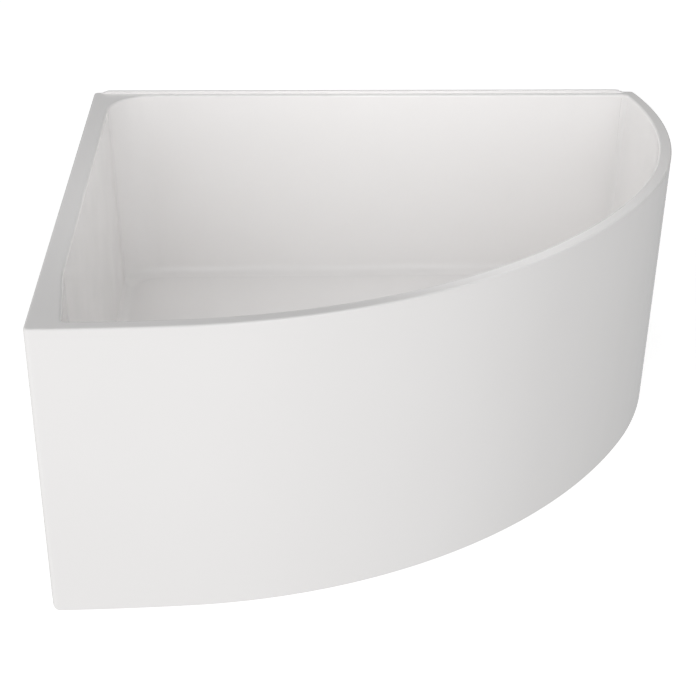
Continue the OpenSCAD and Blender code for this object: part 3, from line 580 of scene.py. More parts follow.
new_mesh("tongue")
recess_top = Vector((0, 0, recess_height))
recess_line = [Vector((0, 0, 0)), recess_top, recess_top + Vector((recess_width, 0, 0)),
               Vector((recess_width, 0, 0))]
draw_line(recess_line, [(recess_top, recess_corner)])
tongue = face_and_extrude(Vector((0, -10 * MM, 0)))
recess_end = end_fillet(rim_back, end_corner, rim_front)
recess_foot = recess_drop + recess_height
lean_back = math.atan(wall_lean + recess_depth / recess_height)
settle(tongue, Matrix.Translation(at_wall(recess_end.x - recess_width, -rim_back - recess_foot * wall_lean,
                                          rim_height - recess_foot))
       @ Matrix.Rotation(-lean_back, 4, "X"))
carve(basin, tongue)

# %% [markdown]
# A low strip runs along the back of the rim. It keeps water from the wall, and its ends
# slope down into the rim. Its outline is drawn from the side, pulled to its width, and
# its upper edges are bevelled round before it is joined to the basin.

# %% Raised strip
strip_width, strip_back, strip_end, strip_slope = 7 * MM, 4 * MM, 14 * MM, 16 * MM
strip_round = 2 * MM
rim_end = end_fillet(0, plan_round, 0).x
strip_line = [(strip_end, -sheet / 2), (strip_end, 0), (strip_end + strip_slope, upstand_height),
              (rim_end - strip_end - strip_slope, upstand_height), (rim_end - strip_end, 0),
              (rim_end - strip_end, -sheet / 2)]
new_mesh("strip")
draw_line([at_wall(x, -strip_back, rim_height + z) for x, z in strip_line])
face_and_extrude(Vector((0, -strip_width, 0)))
strip = bpy.context.object
bpy.ops.object.mode_set(mode="EDIT")
select_where("edges", lambda e: min(v.co.z for v in e.verts) > rim_height - MM
             and any(v.co.z > rim_height + MM for v in e.verts))
bpy.ops.mesh.bevel(offset=strip_round, segments=4, affect="EDGES")
close_skin()
carve(basin, strip, "UNION")
print("basin:", len(basin.data.polygons), "faces")

# %% [markdown]
# The skirt is one curved panel with a flange along its foot, a tongue along its top that
# stands behind the rim's edge, and a short return along each wall. Its section stays the
# same all the way round, so each corner of the section becomes one line that follows the
# front at its own inset, and the lines are joined to a band. A narrow bevel then breaks
# every sharp edge, as on any moulded panel, and catches the light.

# %% Skirt
skirt_wall, skirt_gap, skirt_flange, skirt_return = 4 * MM, 2 * MM, 24 * MM, 45 * MM
skirt_tongue, skirt_seat, skirt_corner = 8 * MM, 0.3 * MM, 13 * MM
skirt_top = rim_height - rim_drop - 0.02 * MM
tongue_inset = sheet + skirt_seat


def skirt_outline(inset):
    r = plan_round - min(inset, plan_round - MM)
    left, right = left_fillet(Vector((inset, 0)), 180, r, inset), end_fillet(inset, r, inset)
    end = end_fillet(0, plan_round, 0)
    return [Vector((inset, skirt_return - bath_depth)),
            (left, r, 180, degrees_of(left - front_c), STEPS["small"]),
            *front_turns(inset, left, right),
            (right, r, degrees_of(right - end_c), 90, STEPS["small"]),
            Vector((end.x - skirt_return, -inset))]


skirt_section = [(0, skirt_gap), (0, skirt_top), (tongue_inset, skirt_top),
                 (tongue_inset, skirt_top + skirt_tongue),
                 (tongue_inset + skirt_wall, skirt_top + skirt_tongue),
                 (tongue_inset + skirt_wall, skirt_top - skirt_wall),
                 (skirt_wall, skirt_top - skirt_wall), (skirt_wall, skirt_gap + skirt_wall),
                 (skirt_flange, skirt_gap + skirt_wall), (skirt_flange, skirt_gap)]
loft("skirt", [(skirt_outline(inset), z) for inset, z in skirt_section], closed=False, looped=True)
skirt = close_skin()

# The lower left corner is rounded: what is left of a square beside a quarter circle goes.
new_mesh("spandrel")
foot = Vector((cad_low.x, cad_low.y - MM, skirt_gap))
outside = 2 * MM
pen_down(foot + Vector((skirt_corner, 0, 0)))
bpy.ops.mesh.spin(steps=12, angle=math.radians(-90), axis=(0, 1, 0),
                  center=foot + Vector((skirt_corner, 0, skirt_corner)))
spandrel_line = [foot + Vector((x, 0, z)) for x, z in
                 [(0, skirt_corner), (-outside, skirt_corner), (-outside, -outside),
                  (skirt_corner, -outside), (skirt_corner, 0)]]
for a, b in zip(spandrel_line, spandrel_line[1:-1]):
    pen_line(a, b)
carve(skirt, face_and_extrude(Vector((0, skirt_return + 2 * skirt_corner, 0))))
edge_bevel = {"width": 0.8 * MM, "segments": 3, "limit_method": "ANGLE",
              "angle_limit": math.radians(40), "harden_normals": False}
apply_modifier(skirt, "BEVEL", **edge_bevel)
print("skirt:", len(skirt.data.polygons), "faces, top at", round(skirt_top, 5))

# %% [markdown]
# Sanitary acrylic is cast in a flat sheet, so it is very smooth and almost white, with a
# clear gloss that mirrors soft shapes. Two things keep it from looking like a computer's
# white: the drawn sheet is never quite even, which shows as a very shallow wave in the
# reflections, and its brightness drifts a little. Both are noise patterns far larger than
# a texture's grain, read from the piece's own coordinates.

# %% Material helpers and acrylic
def new_material(name, colour, roughness, **settings):
    """A Principled material with its plain values set on the shader's own sockets."""
    made = bpy.data.materials.new(name)
    made.use_nodes = True
    shader = made.node_tree.nodes["Principled BSDF"]
    shader.inputs["Base Color"].default_value = (*colour, 1)
    shader.inputs["Roughness"].default_value = roughness
    for socket, value in settings.items():
        shader.inputs[socket.replace("_", " ")].default_value = value
    return made


def add_node(made, kind, **settings):
    node = made.node_tree.nodes.new(kind)
    for setting, value in settings.items():
        if setting in node.inputs:
            node.inputs[setting].default_value = value
        else:
            setattr(node, setting, value)
    return node


def shader_of(made):
    return made.node_tree.nodes["Principled BSDF"]


def own_place(made, scale=(1, 1, 1)):
    """The piece's own coordinates in metres, stretched by a scale."""
    source = add_node(made, "ShaderNodeTexCoord")
    mapping = add_node(made, "ShaderNodeMapping", Scale=scale)
    link_nodes(made.node_tree, (source.outputs["Object"], mapping.inputs["Vector"]))
    return mapping.outputs["Vector"]


def noise(made, place, scale, detail=3, roughness=0.5):
    node = add_node(made, "ShaderNodeTexNoise", Scale=scale, Detail=detail, Roughness=roughness)
    link_nodes(made.node_tree, (place, node.inputs["Vector"]))
    return node.outputs["Fac"]


def ramp(made, value, *stops):
    """Colours or greys along a value, from stops (position, colour or grey)."""
    node = add_node(made, "ShaderNodeValToRGB")
    while len(node.color_ramp.elements) < len(stops):
        node.color_ramp.elements.new(1)
    for element, (position, colour) in zip(node.color_ramp.elements, stops):
        element.position = position
        element.color = (*colour, 1) if isinstance(colour, tuple) else (colour, colour, colour, 1)
    link_nodes(made.node_tree, (value, node.inputs["Fac"]))
    return node.outputs["Color"]


def colour_with(made, colour):
    link_nodes(made.node_tree, (colour, shader_of(made).inputs["Base Color"]))


def rough_with(made, value):
    link_nodes(made.node_tree, (value, shader_of(made).inputs["Roughness"]))


def bump_with(made, height, depth, strength=1.0):
    """Relief of a real depth in metres. Several calls add up."""
    node = add_node(made, "ShaderNodeBump", Distance=depth, Strength=strength)
    target = shader_of(made).inputs["Normal"]
    if target.is_linked:
        link_nodes(made.node_tree, (target.links[0].from_socket, node.inputs["Normal"]))
    link_nodes(made.node_tree, (height, node.inputs["Height"]), (node.outputs["Normal"], target))


acrylic = new_material("sanitary_acrylic", (0.9, 0.9, 0.9), 0.14, Coat_Weight=0.35,
                       Coat_Roughness=0.04, IOR=1.49)
place = own_place(acrylic)
colour_with(acrylic, ramp(acrylic, noise(acrylic, place, 2.2), (0.3, (0.904, 0.891, 0.884)),
                          (0.7, (0.919, 0.907, 0.901))))
rough_with(acrylic, ramp(acrylic, noise(acrylic, place, 9), (0.3, 0.11), (0.7, 0.17)))
bump_with(acrylic, noise(acrylic, place, 5, detail=1), 0.6 * MM)
bump_with(acrylic, noise(acrylic, place, 240, detail=1), 0.012 * MM)
print("acrylic mixed")

# %% [markdown]
# Each finished piece gets smooth shading up to a sharp edge, its material and the body that
# it rides on, and the construction nodes that it stands for are hidden.

# %% Basin and skirt finished
def dress(piece, finish, slot, body, *nodes, angle=35):
    choose(piece)
    bpy.ops.object.shade_smooth_by_angle(angle=math.radians(angle))
    piece.data.materials.clear()
    piece.data.materials.append(finish)
    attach(piece, body)
    if nodes:
        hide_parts(*nodes)
    print(piece.name, "with", len(piece.data.polygons), "faces stands for", nodes)


for shell, node in ((basin, "basin_shell"), (skirt, "skirt_panel")):
    dress(shell, acrylic, "acrylic", "bath", node)
    apply_modifier(shell, "WEIGHTED_NORMAL", keep_sharp=True)

# %% [markdown]
# What holds the bath up is hardware, and much of it comes in sets. A set is modelled once
# at the origin and copied to its places, each copy with its own mesh. Plates are closed
# lines that are filled and pulled, and their edges are broken by a narrow bevel, because
# no real edge is perfectly sharp.

# %% Plates, copies and joined sets
def centre_of(node):
    low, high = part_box(node)
    return (low + high) / 2


def break_edges(piece, width, segments=2):
    apply_modifier(piece, "BEVEL", width=width, segments=segments, limit_method="ANGLE",
                   angle_limit=math.radians(30))


def draw_loop(spots, roundings=(), segments=5):
    """Draws a closed line through spots and rounds the corners (spot, radius)."""
    pen_down(spots[0])
    for a, b in zip(spots, spots[1:]):
        pen_line(a, b)
    select_where("verts", lambda v: len(v.link_edges) == 1)
    bpy.ops.mesh.edge_face_add()
    for spot, radius in roundings:
        select_where("verts", lambda v: (v.co - spot).length < 1e-6)
        bpy.ops.mesh.bevel(offset=radius, segments=segments, affect="VERTICES")


def plate(name, spots, depth, roundings=(), edge=0.0, segments=5):
    """A closed line through spots, filled and pulled by a depth, with broken edges."""
    new_mesh(name)
    draw_loop([Vector(spot) for spot in spots], [(Vector(s), r) for s, r in roundings], segments)
    bpy.ops.mesh.select_all(action="SELECT")
    bpy.ops.mesh.edge_face_add()
    pull(depth)
    piece = close_skin()
    if edge:
        break_edges(piece, edge)
    return piece


def block(name, low, high, edge=0.0):
    """An upright bar between two corners, as a tool or as a small part."""
    x0, y0, z0 = low
    x1, y1, z1 = high
    return plate(name, [(x0, y0, z0), (x1, y0, z0), (x1, y1, z0), (x0, y1, z0)], (0, 0, z1 - z0), edge=edge)


def copies(model, places):
    """Copies of a model, each with its own mesh, at the places. The model itself goes."""
    made = []
    for place in places:
        twin = model.copy()
        twin.data = model.data.copy()
        bpy.context.scene.collection.objects.link(twin)
        settle(twin, place)
        made.append(twin)
    bpy.data.objects.remove(model)
    return made


def joined(name, parts):
    choose(*parts)
    if len(parts) > 1:
        bpy.ops.object.join()
    piece = parts[0]
    piece.name = piece.data.name = name
    return piece


def spot_at(place, turn=0.0):
    """The matrix that puts a model at a place, turned round the upright axis."""
    return Matrix.Translation(place) @ Matrix.Rotation(math.radians(turn), 4, "Z")


print("hardware helpers ready")

# %% [markdown]
# Glass fibres and resin are sprayed over the back of the acrylic and rolled down by hand,
# so the skin follows the basin but is never even. It is lofted from the same outlines,
# its long straight runs are divided, and a soft cloud pattern pushes its outer face in and
# out by a millimetre. The face under the floor stays flat, because the board lies on it.

# %% Glassfibre skin
bond = 0.3 * MM
fibre_wall, fibre_drop = 4 * MM, 40 * MM
fibre_in, fibre_out = sheet + bond, sheet + bond + fibre_wall
straight = [floor_fillet + (basin_depth - floor_fillet - fibre_drop) * k / 24 for k in range(1, 24)]
side_rings = [wall_ring(fibre_out, basin_depth - rise) for rise in straight]
loft("glassfibre_skin", [*fillet_rings(fibre_out), *side_rings, wall_ring(fibre_out, fibre_drop),
                         wall_ring(fibre_in, fibre_drop), *reversed(fillet_rings(fibre_in))])
fibre = close_skin()
bpy.ops.object.mode_set(mode="EDIT")
for _ in range(6):
    if select_where("edges", lambda e: e.calc_length() > 16 * MM and e.verts[0].co.z > floor_z - 5 * MM
                    and abs(e.verts[0].co.z - e.verts[1].co.z) < MM
                    and not any(len(f.verts) > 8 for f in e.link_faces)):
        bpy.ops.mesh.subdivide(number_cuts=1)
bpy.ops.object.mode_set(mode="OBJECT")
sprayed = fibre.vertex_groups.new(name="sprayed")
middle = Vector((0, 0, rim_height))
sprayed.add([v.index for v in fibre.data.vertices
             if v.co.z > floor_z - 8 * MM and v.normal.dot(v.co - middle) > 0], 1.0, "REPLACE")
clouds = bpy.data.textures.new("spray_clouds", "CLOUDS")
clouds.noise_scale = 0.028
clouds.noise_depth = 3
apply_modifier(fibre, "DISPLACE", texture=clouds, texture_coords="LOCAL", strength=2.6 * MM,
               mid_level=0.42, vertex_group="sprayed")
board_hole, cover_radius = boss_radius + 2 * MM, 32 * MM
carve(fibre, rod(board_hole, floor_z - 30 * MM, floor_z, place=at_waste))
carve(fibre, rod(cover_radius + MM / 2, -fibre_out - 4 * MM, 0, place=at_overflow))
print("glassfibre skin:", len(fibre.data.polygons), "faces")

# %% [markdown]
# The board under the floor has the outline of the floor itself, a little smaller. The
# blocks behind the skirt are cut to the skirt's curve, which the construction already
# holds, so they are merged copies of it with their edges broken.

# %% Board and blocks
board_low, board_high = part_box("base_board")
new_mesh("floor_board")
draw_outline(inner_outline(flat_inset + 8 * MM), board_low.z)
board = face_and_extrude(Vector((0, 0, board_high.z - board_low.z)))
carve(board, rod(board_hole, board_low.z - MM, board_high.z + MM, place=at_waste))
break_edges(board, 0.5 * MM)


def merged_copy(name, node, edge):
    """A copy of a node's mesh, merged, with its flat faces made whole and its edges broken."""
    piece = bpy.data.objects.new(name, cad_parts[node].data.copy())
    bpy.context.scene.collection.objects.link(piece)
    choose(piece)
    bpy.ops.mesh.customdata_custom_splitnormals_clear()
    bpy.ops.object.mode_set(mode="EDIT")
    bpy.ops.mesh.select_all(action="SELECT")
    bpy.ops.mesh.remove_doubles(threshold=0.01 * MM)
    bpy.ops.mesh.dissolve_limited(angle_limit=math.radians(0.5))
    bpy.ops.object.mode_set(mode="OBJECT")
    break_edges(piece, edge)
    print(name, "merged from", node, "with", len(piece.data.polygons), "faces")
    return piece


blocks = merged_copy("fixing_blocks", "skirt_blocks", 0.6 * MM)

# %% [markdown]
# The frame is square tube with rolled corners, cut and welded. Each tube is drawn as two
# nested rounded squares, filled between and pulled to its length. A plate with a round end
# sits under each end of a rail for the leg. The weld beads are turned rods whose scallops
# are the puddles that the torch leaves, one after another.

# %% Tubes and beads
frame_low, frame_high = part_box("steel_frame")
tube_width, tube_wall = 25 * MM, 1.5 * MM
strip = 3 * MM
tube_z = frame_high.z - tube_width
strip_top = frame_low.z + strip
legs = [centre_of(f"leg_stud_{k}").xy for k in range(1, 6)]
leg_turns = (0, 180, 0, 180, 180)
leg_reach = 26 * MM
cross_places = (0.142, 0.54, 0.89)


def square_tube(start, end):
    """A square tube with rolled corners between two ends of its centre line, in plan."""
    start, end = (Vector((*p, tube_z + tube_width / 2)) for p in (start, end))
    up = Vector((0, 0, 1))
    side = (end - start).normalized().cross(up)
    new_mesh("tube")
    for half, corner in ((tube_width / 2, 3 * MM), (tube_width / 2 - tube_wall, 1.5 * MM)):
        spots = [start + half * (a * side + b * up) for a, b in ((-1, -1), (1, -1), (1, 1), (-1, 1))]
        draw_loop(spots, [(spot, corner) for spot in spots], 3)
    bpy.ops.mesh.select_all(action="SELECT")
    bpy.ops.mesh.fill()
    pull(end - start)
    return close_skin()


def weld_bead(length, thickness=2.2 * MM):
    """A bead of weld that starts at the origin and runs along x."""
    step = 1.7 * MM
    count = round(length / step)
    section = [(0, 0)]
    for k in range(count):
        swell = thickness * (1 + 0.09 * math.sin(2.3 * k))
        section += [(0.8 * swell, k * step), (swell, (k + 0.6) * step)]
    section += [(0.7 * thickness, count * step), (0, count * step)]
    return turned("bead", section, steps=10, place=Matrix.Rotation(math.radians(90), 4, "Y"))


print("legs at", [tuple(round(v, 4) for v in leg) for leg in legs])

# %% [markdown]
# Three rails run from leg to leg, and short tubes cross between them. A bead stands at both
# sides of every joint, and two more hold each leg's plate to its rail.

# %% Welded frame
half = tube_width / 2
rail_start = legs[0].x + leg_reach
rails = [(legs[0].y, legs[1].x), (legs[4].y, legs[4].x), (legs[2].y, legs[3].x)]
rail_ys = [y for y, _ in rails]
tubes = [square_tube((rail_start, y), (x - leg_reach, y)) for y, x in rails]
crossings = [(at_wall(x, 0, 0).x, rail_ys[k], rail_ys[k + 1]) for x in cross_places[:2] for k in (0, 1)]
crossings.append((at_wall(cross_places[2], 0, 0).x, rail_ys[0], rail_ys[1]))
tubes += [square_tube((x, y0 - half), (x, y1 + half)) for x, y0, y1 in crossings]

tongue_half = 20 * MM
tongue_end = leg_reach + tube_width
tongue_line = [(x, y, frame_low.z) for x, y in ((-tongue_half, -tongue_half), (tongue_end, -tongue_half),
                                                (tongue_end, tongue_half), (-tongue_half, tongue_half))]
tongue = plate("tongue", tongue_line, (0, 0, strip),
               [(tongue_line[0], 19.9 * MM), (tongue_line[3], 19.9 * MM)], segments=14)
stud_radius = 6 * MM
carve(tongue, rod(stud_radius + MM / 2, frame_low.z - MM, strip_top + MM, 40))
break_edges(tongue, 0.4 * MM)
tongues = copies(tongue, [spot_at((*leg, 0), turn) for leg, turn in zip(legs, leg_turns)])

seam_places = [spot_at((*leg, strip_top), turn) @ Matrix.Translation((leg_reach + MM, side * half, 0))
               for leg, turn in zip(legs, leg_turns) for side in (-1, 1)]
seams = copies(weld_bead(22 * MM), seam_places)
stand = Matrix.Rotation(math.radians(-90), 4, "Y")
joint_places = [Matrix.Translation((x + side * half, y, tube_z + 2 * MM)) @ stand
                for x, y0, y1 in crossings for y in (y0 - half, y1 + half) for side in (-1, 1)]
joint_beads = copies(weld_bead(21 * MM, 1.8 * MM), joint_places)
welded_frame = joined("welded_frame", tubes + tongues + seams + joint_beads)
print("frame:", len(tubes), "tubes,", len(seam_places) + len(joint_places), "beads")

# %% [markdown]
# A screw thread is one tooth that climbs while it turns. The tooth is drawn as a zigzag one
# pitch high, and the Screw modifier sweeps it upwards, turn after turn, so that each turn
# closes on the next. The ends are cut flat, and a turned shape takes off the sharp start.

# %% Threads, nuts and screws
def thread(radius, pitch, low, high, steps, taper):
    """A threaded rod round the upright axis, with its top chamfered over a length."""
    root = radius - 0.61 * pitch
    piece = new_mesh("thread")
    tooth = [(0, root), (0.4, radius), (0.55, radius), (0.95, root), (1, root)]
    start = low - 1.37 * pitch
    draw_line([Vector((r, 0, start + along * pitch)) for along, r in tooth])
    bpy.ops.object.mode_set(mode="OBJECT")
    apply_modifier(piece, "SCREW", angle=math.tau, screw_offset=pitch, steps=steps, render_steps=steps,
                   iterations=math.ceil((high - low) / pitch) + 3)
    bpy.ops.object.mode_set(mode="EDIT")
    bpy.ops.mesh.select_all(action="SELECT")
    bpy.ops.mesh.remove_doubles(threshold=1e-6)
    for height, side in ((low, -1), (high, 1)):
        bpy.ops.mesh.select_all(action="SELECT")
        bpy.ops.mesh.bisect(plane_co=(0, 0, height), plane_no=(0, 0, side), use_fill=True, clear_outer=True)
    close_skin()
    wide, tip = radius + MM, max(0.15 * radius, radius - taper)
    shoulder = high - taper * (wide - tip) / (radius - tip)
    carve(piece, turned("point", [(0, low - MM), (wide, low - MM), (wide, shoulder), (tip, high),
                                  (tip, high + MM), (0, high + MM)], steps=steps), "INTERSECT")
    return piece


def hex_nut(across, low, high, bore=0.0):
    """A hexagonal nut, its ends chamfered by a turned shape, and bored if a bore is given."""
    corner, chamfer = across / 2, 1.2 * MM
    flat = corner * math.cos(math.radians(30))
    nut = plate("nut", [(*polar(corner, 60 * k), low) for k in range(6)], (0, 0, high - low))
    carve(nut, turned("blank", [(0, low), (flat, low), (corner + bond, low + chamfer),
                                (corner + bond, high - chamfer), (flat, high), (0, high)]), "INTERSECT")
    if not bore:
        return nut
    wide = bore + 0.8 * MM
    carve(nut, turned("bore", [(0, low - MM), (wide, low - MM), (wide, low), (bore, low + 0.8 * MM),
                               (bore, high - 0.8 * MM), (wide, high), (wide, high + MM), (0, high + MM)], 40))
    return nut


def pan_screw(shank, radius=2 * MM, head=4.5 * MM, rise=2.6 * MM):
    """A pan-head screw with a cross recess. It stands on its head, which lies under z 0."""
    screw = turned("screw", [(0, -rise), (0.55 * head, -rise, 0.9 * MM), (head, -0.4 * rise, 0.7 * MM),
                             (head, 0, 0.15 * MM), (0, 0)], 40)
    arm, slot = 0.56 * head, 0.13 * head
    for a, b in ((arm, slot), (slot, arm)):
        carve(screw, block("bit", (-a, -b, -rise - MM), (a, b, -0.45 * rise)))
    carve(screw, thread(radius, 0.8 * radius, -0.31 * MM, shank, 14, min(3 * MM, shank / 2)), "UNION")
    return screw


nut_across, thread_gap = 21.9 * MM, 0.08 * MM
nut_places = [spot_at((*leg, 0)) for leg in legs]
nut_sets = {}
for name, node in (("welded_nuts", "frame_nuts"), ("locking_nuts", "lock_nuts")):
    low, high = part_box(node)
    nut = hex_nut(nut_across, low.z, high.z, stud_radius + thread_gap)
    nut_sets[node] = joined(name, copies(nut, nut_places))

screw_inset = 70 * MM
left_x, centre_x, right_x = (at_wall(x, 0, 0).x for x in cross_places)
board_screw_spots = [(x, y) for y in rail_ys for x in (left_x + screw_inset, centre_x - screw_inset)]
board_screw_spots += [(right_x - screw_inset, y) for y in rail_ys[:2]]
bite = 12 * MM
board_screws = joined("board_screws", copies(pan_screw(tube_width + bond + bite),
                                             [spot_at((x, y, tube_z)) for x, y in board_screw_spots]))
print("nuts:", 2 * len(nut_places), "board screws:", len(board_screw_spots))

# %% [markdown]
# A leg is a threaded stud with a hexagon for the spanner. Its foot turns freely in the
# socket of a moulded pad, which is stiffened by six ribs. Leg and pad are separate pieces,
# because the stud turns and the pad only slides.

# %% Legs and pads
stud_low, stud_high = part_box("leg_stud_1")
pad_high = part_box("foot_pad_1")[1]
hex_low = pad_high.z + bond
hex_high = hex_low + 8 * MM
stud_pitch = 1.75 * MM
stud = thread(stud_radius, stud_pitch, hex_high - MM, stud_high.z, 32, stud_pitch)
carve(stud, hex_nut(18 * MM, hex_low, hex_high), "UNION")
pin_high = hex_high - 2 * MM
carve(stud, turned("pin", [(0, stud_low.z), (stud_radius, stud_low.z, MM / 2), (stud_radius, pin_high),
                           (0, pin_high)], 40), "UNION")
studs = copies(stud, nut_places)

pad_radius, socket = 25 * MM, 11 * MM
bore = stud_radius + thread_gap
pad = turned("pad", [(0, 0.8 * MM), (6 * MM, 0.8 * MM), (7 * MM, 0), (pad_radius, 0, MM),
                     (pad_radius, 4.6 * MM, 1.6 * MM), (socket + 3 * MM, 6.6 * MM, 3 * MM),
                     (socket - MM / 2, pad_high.z, MM), (bore, pad_high.z, MM / 3), (bore, 6 * MM),
                     (0, 6 * MM)], 72)
rib_start, rib_foot = socket - 2 * MM, 4 * MM
rib_line = [(rib_start, rib_foot), (pad_radius - 3 * MM, rib_foot), (pad_radius - 4 * MM, 6 * MM),
            (rib_start, pad_high.z - 3 * MM)]
rib = plate("rib", [(x, -MM, z) for x, z in rib_line], (0, 2 * MM, 0), edge=0.3 * MM)
ribs = joined("ribs", copies(rib, [spot_at((0, 0, 0), 60 * k) for k in range(6)]))
carve(pad, ribs, "UNION")
pads = copies(pad, nut_places)
print("legs and pads:", len(studs), len(pads))

# %% [markdown]
# Three stays hold the skirt from the frame. Each is a flat strip, bent down at its end,
# with a wider tab that is screwed into a block. The profile is drawn with its bends as
# round corners and pulled to the width, and the tab is a plate that is joined to it.

# %% One stay
screw_hole, hole_steps = 2.5 * MM, 32
stay_width, tab_width, tab_height, tab_pitch = 30 * MM, 56 * MM, 60 * MM, 30 * MM


def skirt_stay(length):
    """A stay that starts under a rail at the origin, runs along x and ends in its tab."""
    tail, foot = -tube_width / 2, -strip - tab_height
    profile = [(tail, 0), (length, 0), (length, foot), (length - strip, foot), (length - strip, -strip),
               (tail, -strip)]
    spots = [(x, -stay_width / 2, z) for x, z in profile]
    stay = plate("stay", spots, (0, stay_width, 0), [(spots[1], 4.5 * MM), (spots[4], 1.5 * MM)])
    side, top = tab_width / 2, -8 * MM
    skin = 0.05 * MM
    tab_line = [(length - strip + skin, y, z) for y, z in ((-side, foot - skin), (side, foot - skin),
                                                           (side, top), (-side, top))]
    tab = plate("tab", tab_line, (strip - 2 * skin, 0, 0), [(spot, 4 * MM) for spot in tab_line])
    carve(stay, tab, "UNION")
    carve(stay, rod(screw_hole, -2 * strip, strip, hole_steps))
    for y in (-tab_pitch / 2, tab_pitch / 2):
        hole = rod(screw_hole, -2 * strip, 2 * strip, hole_steps)
        settle(hole, Matrix.Translation((length, y, -strip - tab_height / 2))
               @ Matrix.Rotation(math.radians(90), 4, "Y"))
        carve(stay, hole)
    break_edges(stay, 0.4 * MM)
    return stay


front_y = rail_ys[2]
side_y = rail_ys[1] + 50 * MM


def front_face_y(x):
    """Where the outer face of the skirt stands at x, on its middle stretch."""
    middle_at = middle_c + wall_corner
    return middle_at.y - math.sqrt(middle_radius**2 - (x - middle_at.x) ** 2)


def side_face_x(y):
    """Where the outer face of the skirt stands at y, on its end stretch."""
    end_at = end_c + wall_corner
    return end_at.x + math.sqrt(end_radius**2 - (y - end_at.y) ** 2)


print("the skirt stands at x", round(side_face_x(side_y), 4), "behind the last stay")

# %% [markdown]
# The reach of a stay is measured from its rail to the outer face of the skirt, less the
# skirt's wall and the block, so that each tab lies against its block.

# %% The three stays and their screws
block_depth = 32 * MM
front_xs = [at_wall(x, 0, 0).x for x in (0.33, 0.535)]
stay_starts = [(x, front_y, -90, front_y - front_face_y(x)) for x in front_xs]
stay_starts.append((right_x, side_y, 0, side_face_x(side_y) - right_x))
stays, tab_places, rail_places = [], [], []
for x, y, turn, reach in stay_starts:
    length = reach - skirt_wall - block_depth
    start = spot_at((x, y, tube_z), turn)
    stay = skirt_stay(length)
    settle(stay, start)
    stays.append(stay)
    rail_places.append(start @ Matrix.Translation((0, 0, -strip)))
    tab_places += [start @ Matrix.Translation((length - strip, side, -strip - tab_height / 2))
                   @ Matrix.Rotation(math.radians(90), 4, "Y") for side in (-tab_pitch / 2, tab_pitch / 2)]
    print("stay of", round(length, 4), "from", (round(x, 4), round(y, 4)))
skirt_stays = joined("skirt_stays_bent", stays)
stay_screws = joined("stay_screw_set", copies(pan_screw(strip + tube_wall + 3 * MM), rail_places)
                     + copies(pan_screw(strip + bite), tab_places))

# %% [markdown]
# The wall brackets are bent from sheet in the same way. Each is screwed to the wall and
# steps under the rim, where its upper end stands behind the turned-down edge.

# %% Wall brackets
bracket_low, bracket_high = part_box("wall_brackets")
shelf_z = rim_height - rim_drop - bond
hook, bracket_sheet, bracket_half = sheet + bond, 2 * MM, 20 * MM
hole_pitch, hole_z = 30 * MM, rim_height - rim_drop - 35 * MM
bracket_profile = [(0, bracket_low.z), (0, shelf_z), (-hook, shelf_z), (-hook, bracket_high.z),
                   (-hook - bracket_sheet, bracket_high.z), (-hook - bracket_sheet, shelf_z - bracket_sheet),
                   (-bracket_sheet, shelf_z - bracket_sheet), (-bracket_sheet, bracket_low.z)]
spots = [(-bracket_half, y, z) for y, z in bracket_profile]
bracket = plate("bracket", spots, (2 * bracket_half, 0, 0),
                [(spots[1], 2.4 * MM), (spots[2], 0.5 * MM), (spots[5], 2.4 * MM), (spots[6], 0.5 * MM)])
for z in (hole_z - hole_pitch / 2, hole_z + hole_pitch / 2):
    hole = rod(3.25 * MM, -5 * MM, 5 * MM, hole_steps)
    settle(hole, Matrix.Translation((0, -bracket_sheet / 2, z)) @ Matrix.Rotation(math.radians(90), 4, "X"))
    carve(bracket, hole)
break_edges(bracket, 0.3 * MM)
bracket_places = [spot_at(at_wall(x, 0, 0)) for x in (0.25, 0.9)] + [spot_at(at_wall(0, -0.4, 0), 90)]
brackets = joined("rim_brackets", copies(bracket, bracket_places))
print("stays and brackets:", len(stays), len(bracket_places))

# %% [markdown]
# The waste is a set of turned parts on one upright axis. The first is a chromed flange with
# a tail that passes through the floor. Its half section is spun once round, and the fine
# thread of the tail is cut as rings, since its slope can't be seen. Three arms inside it
# carry the cartridge.

# %% Flange
flange_low, flange_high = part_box("waste_flange")
flange_z = flange_high.z - 2.5 * MM
flange_radius, tail_radius, mouth = 35 * MM, 24 * MM, 20 * MM
tail_bore = tail_radius - 2.4 * MM
groove, groove_pitch, groove_count = 0.8 * MM, 2 * MM, 17
section = [(tail_bore, flange_low.z, 0.4 * MM), (tail_bore, flange_z - MM, 0.3 * MM), (mouth, flange_z),
           (mouth, flange_high.z, 0.9 * MM), (flange_radius - 1.2 * MM, flange_high.z, 0.8 * MM),
           (flange_radius, flange_z + 0.6 * MM, 0.3 * MM), (flange_radius, flange_z), (tail_radius, flange_z)]
for k in range(groove_count):
    top = flange_z - 1.5 * MM - k * groove_pitch
    section += [(tail_radius, top, 0.1 * MM), (tail_radius - groove, top - groove, 0.1 * MM),
                (tail_radius, top - 2 * groove, 0.1 * MM)]
section.append((tail_radius, flange_low.z, 0.3 * MM))
flange = turned("waste_flange_turned", section, looped=True, steps=72)
spider_low = flange_z - 30 * MM
spider_high = spider_low + 8 * MM
cartridge_radius = 7.5 * MM
hub = turned("hub", [(0, spider_low), (cartridge_radius + 3 * MM, spider_low, MM / 2),
                     (cartridge_radius + 3 * MM, spider_high, MM / 2), (0, spider_high)])
arm_reach, arm_half = tail_bore + 0.55 * MM, 1.5 * MM
for turn in (0, 60, 120):
    arm = block("arm", (-arm_reach, -arm_half, spider_low), (arm_reach, arm_half, spider_high), 0.4 * MM)
    settle(arm, spot_at((0, 0, 0), turn))
    carve(hub, arm, "UNION")
carve(hub, rod(cartridge_radius + 0.05 * MM, spider_low - MM, spider_high + MM, hole_steps))
carve(flange, hub, "UNION")
settle(flange, at_waste)
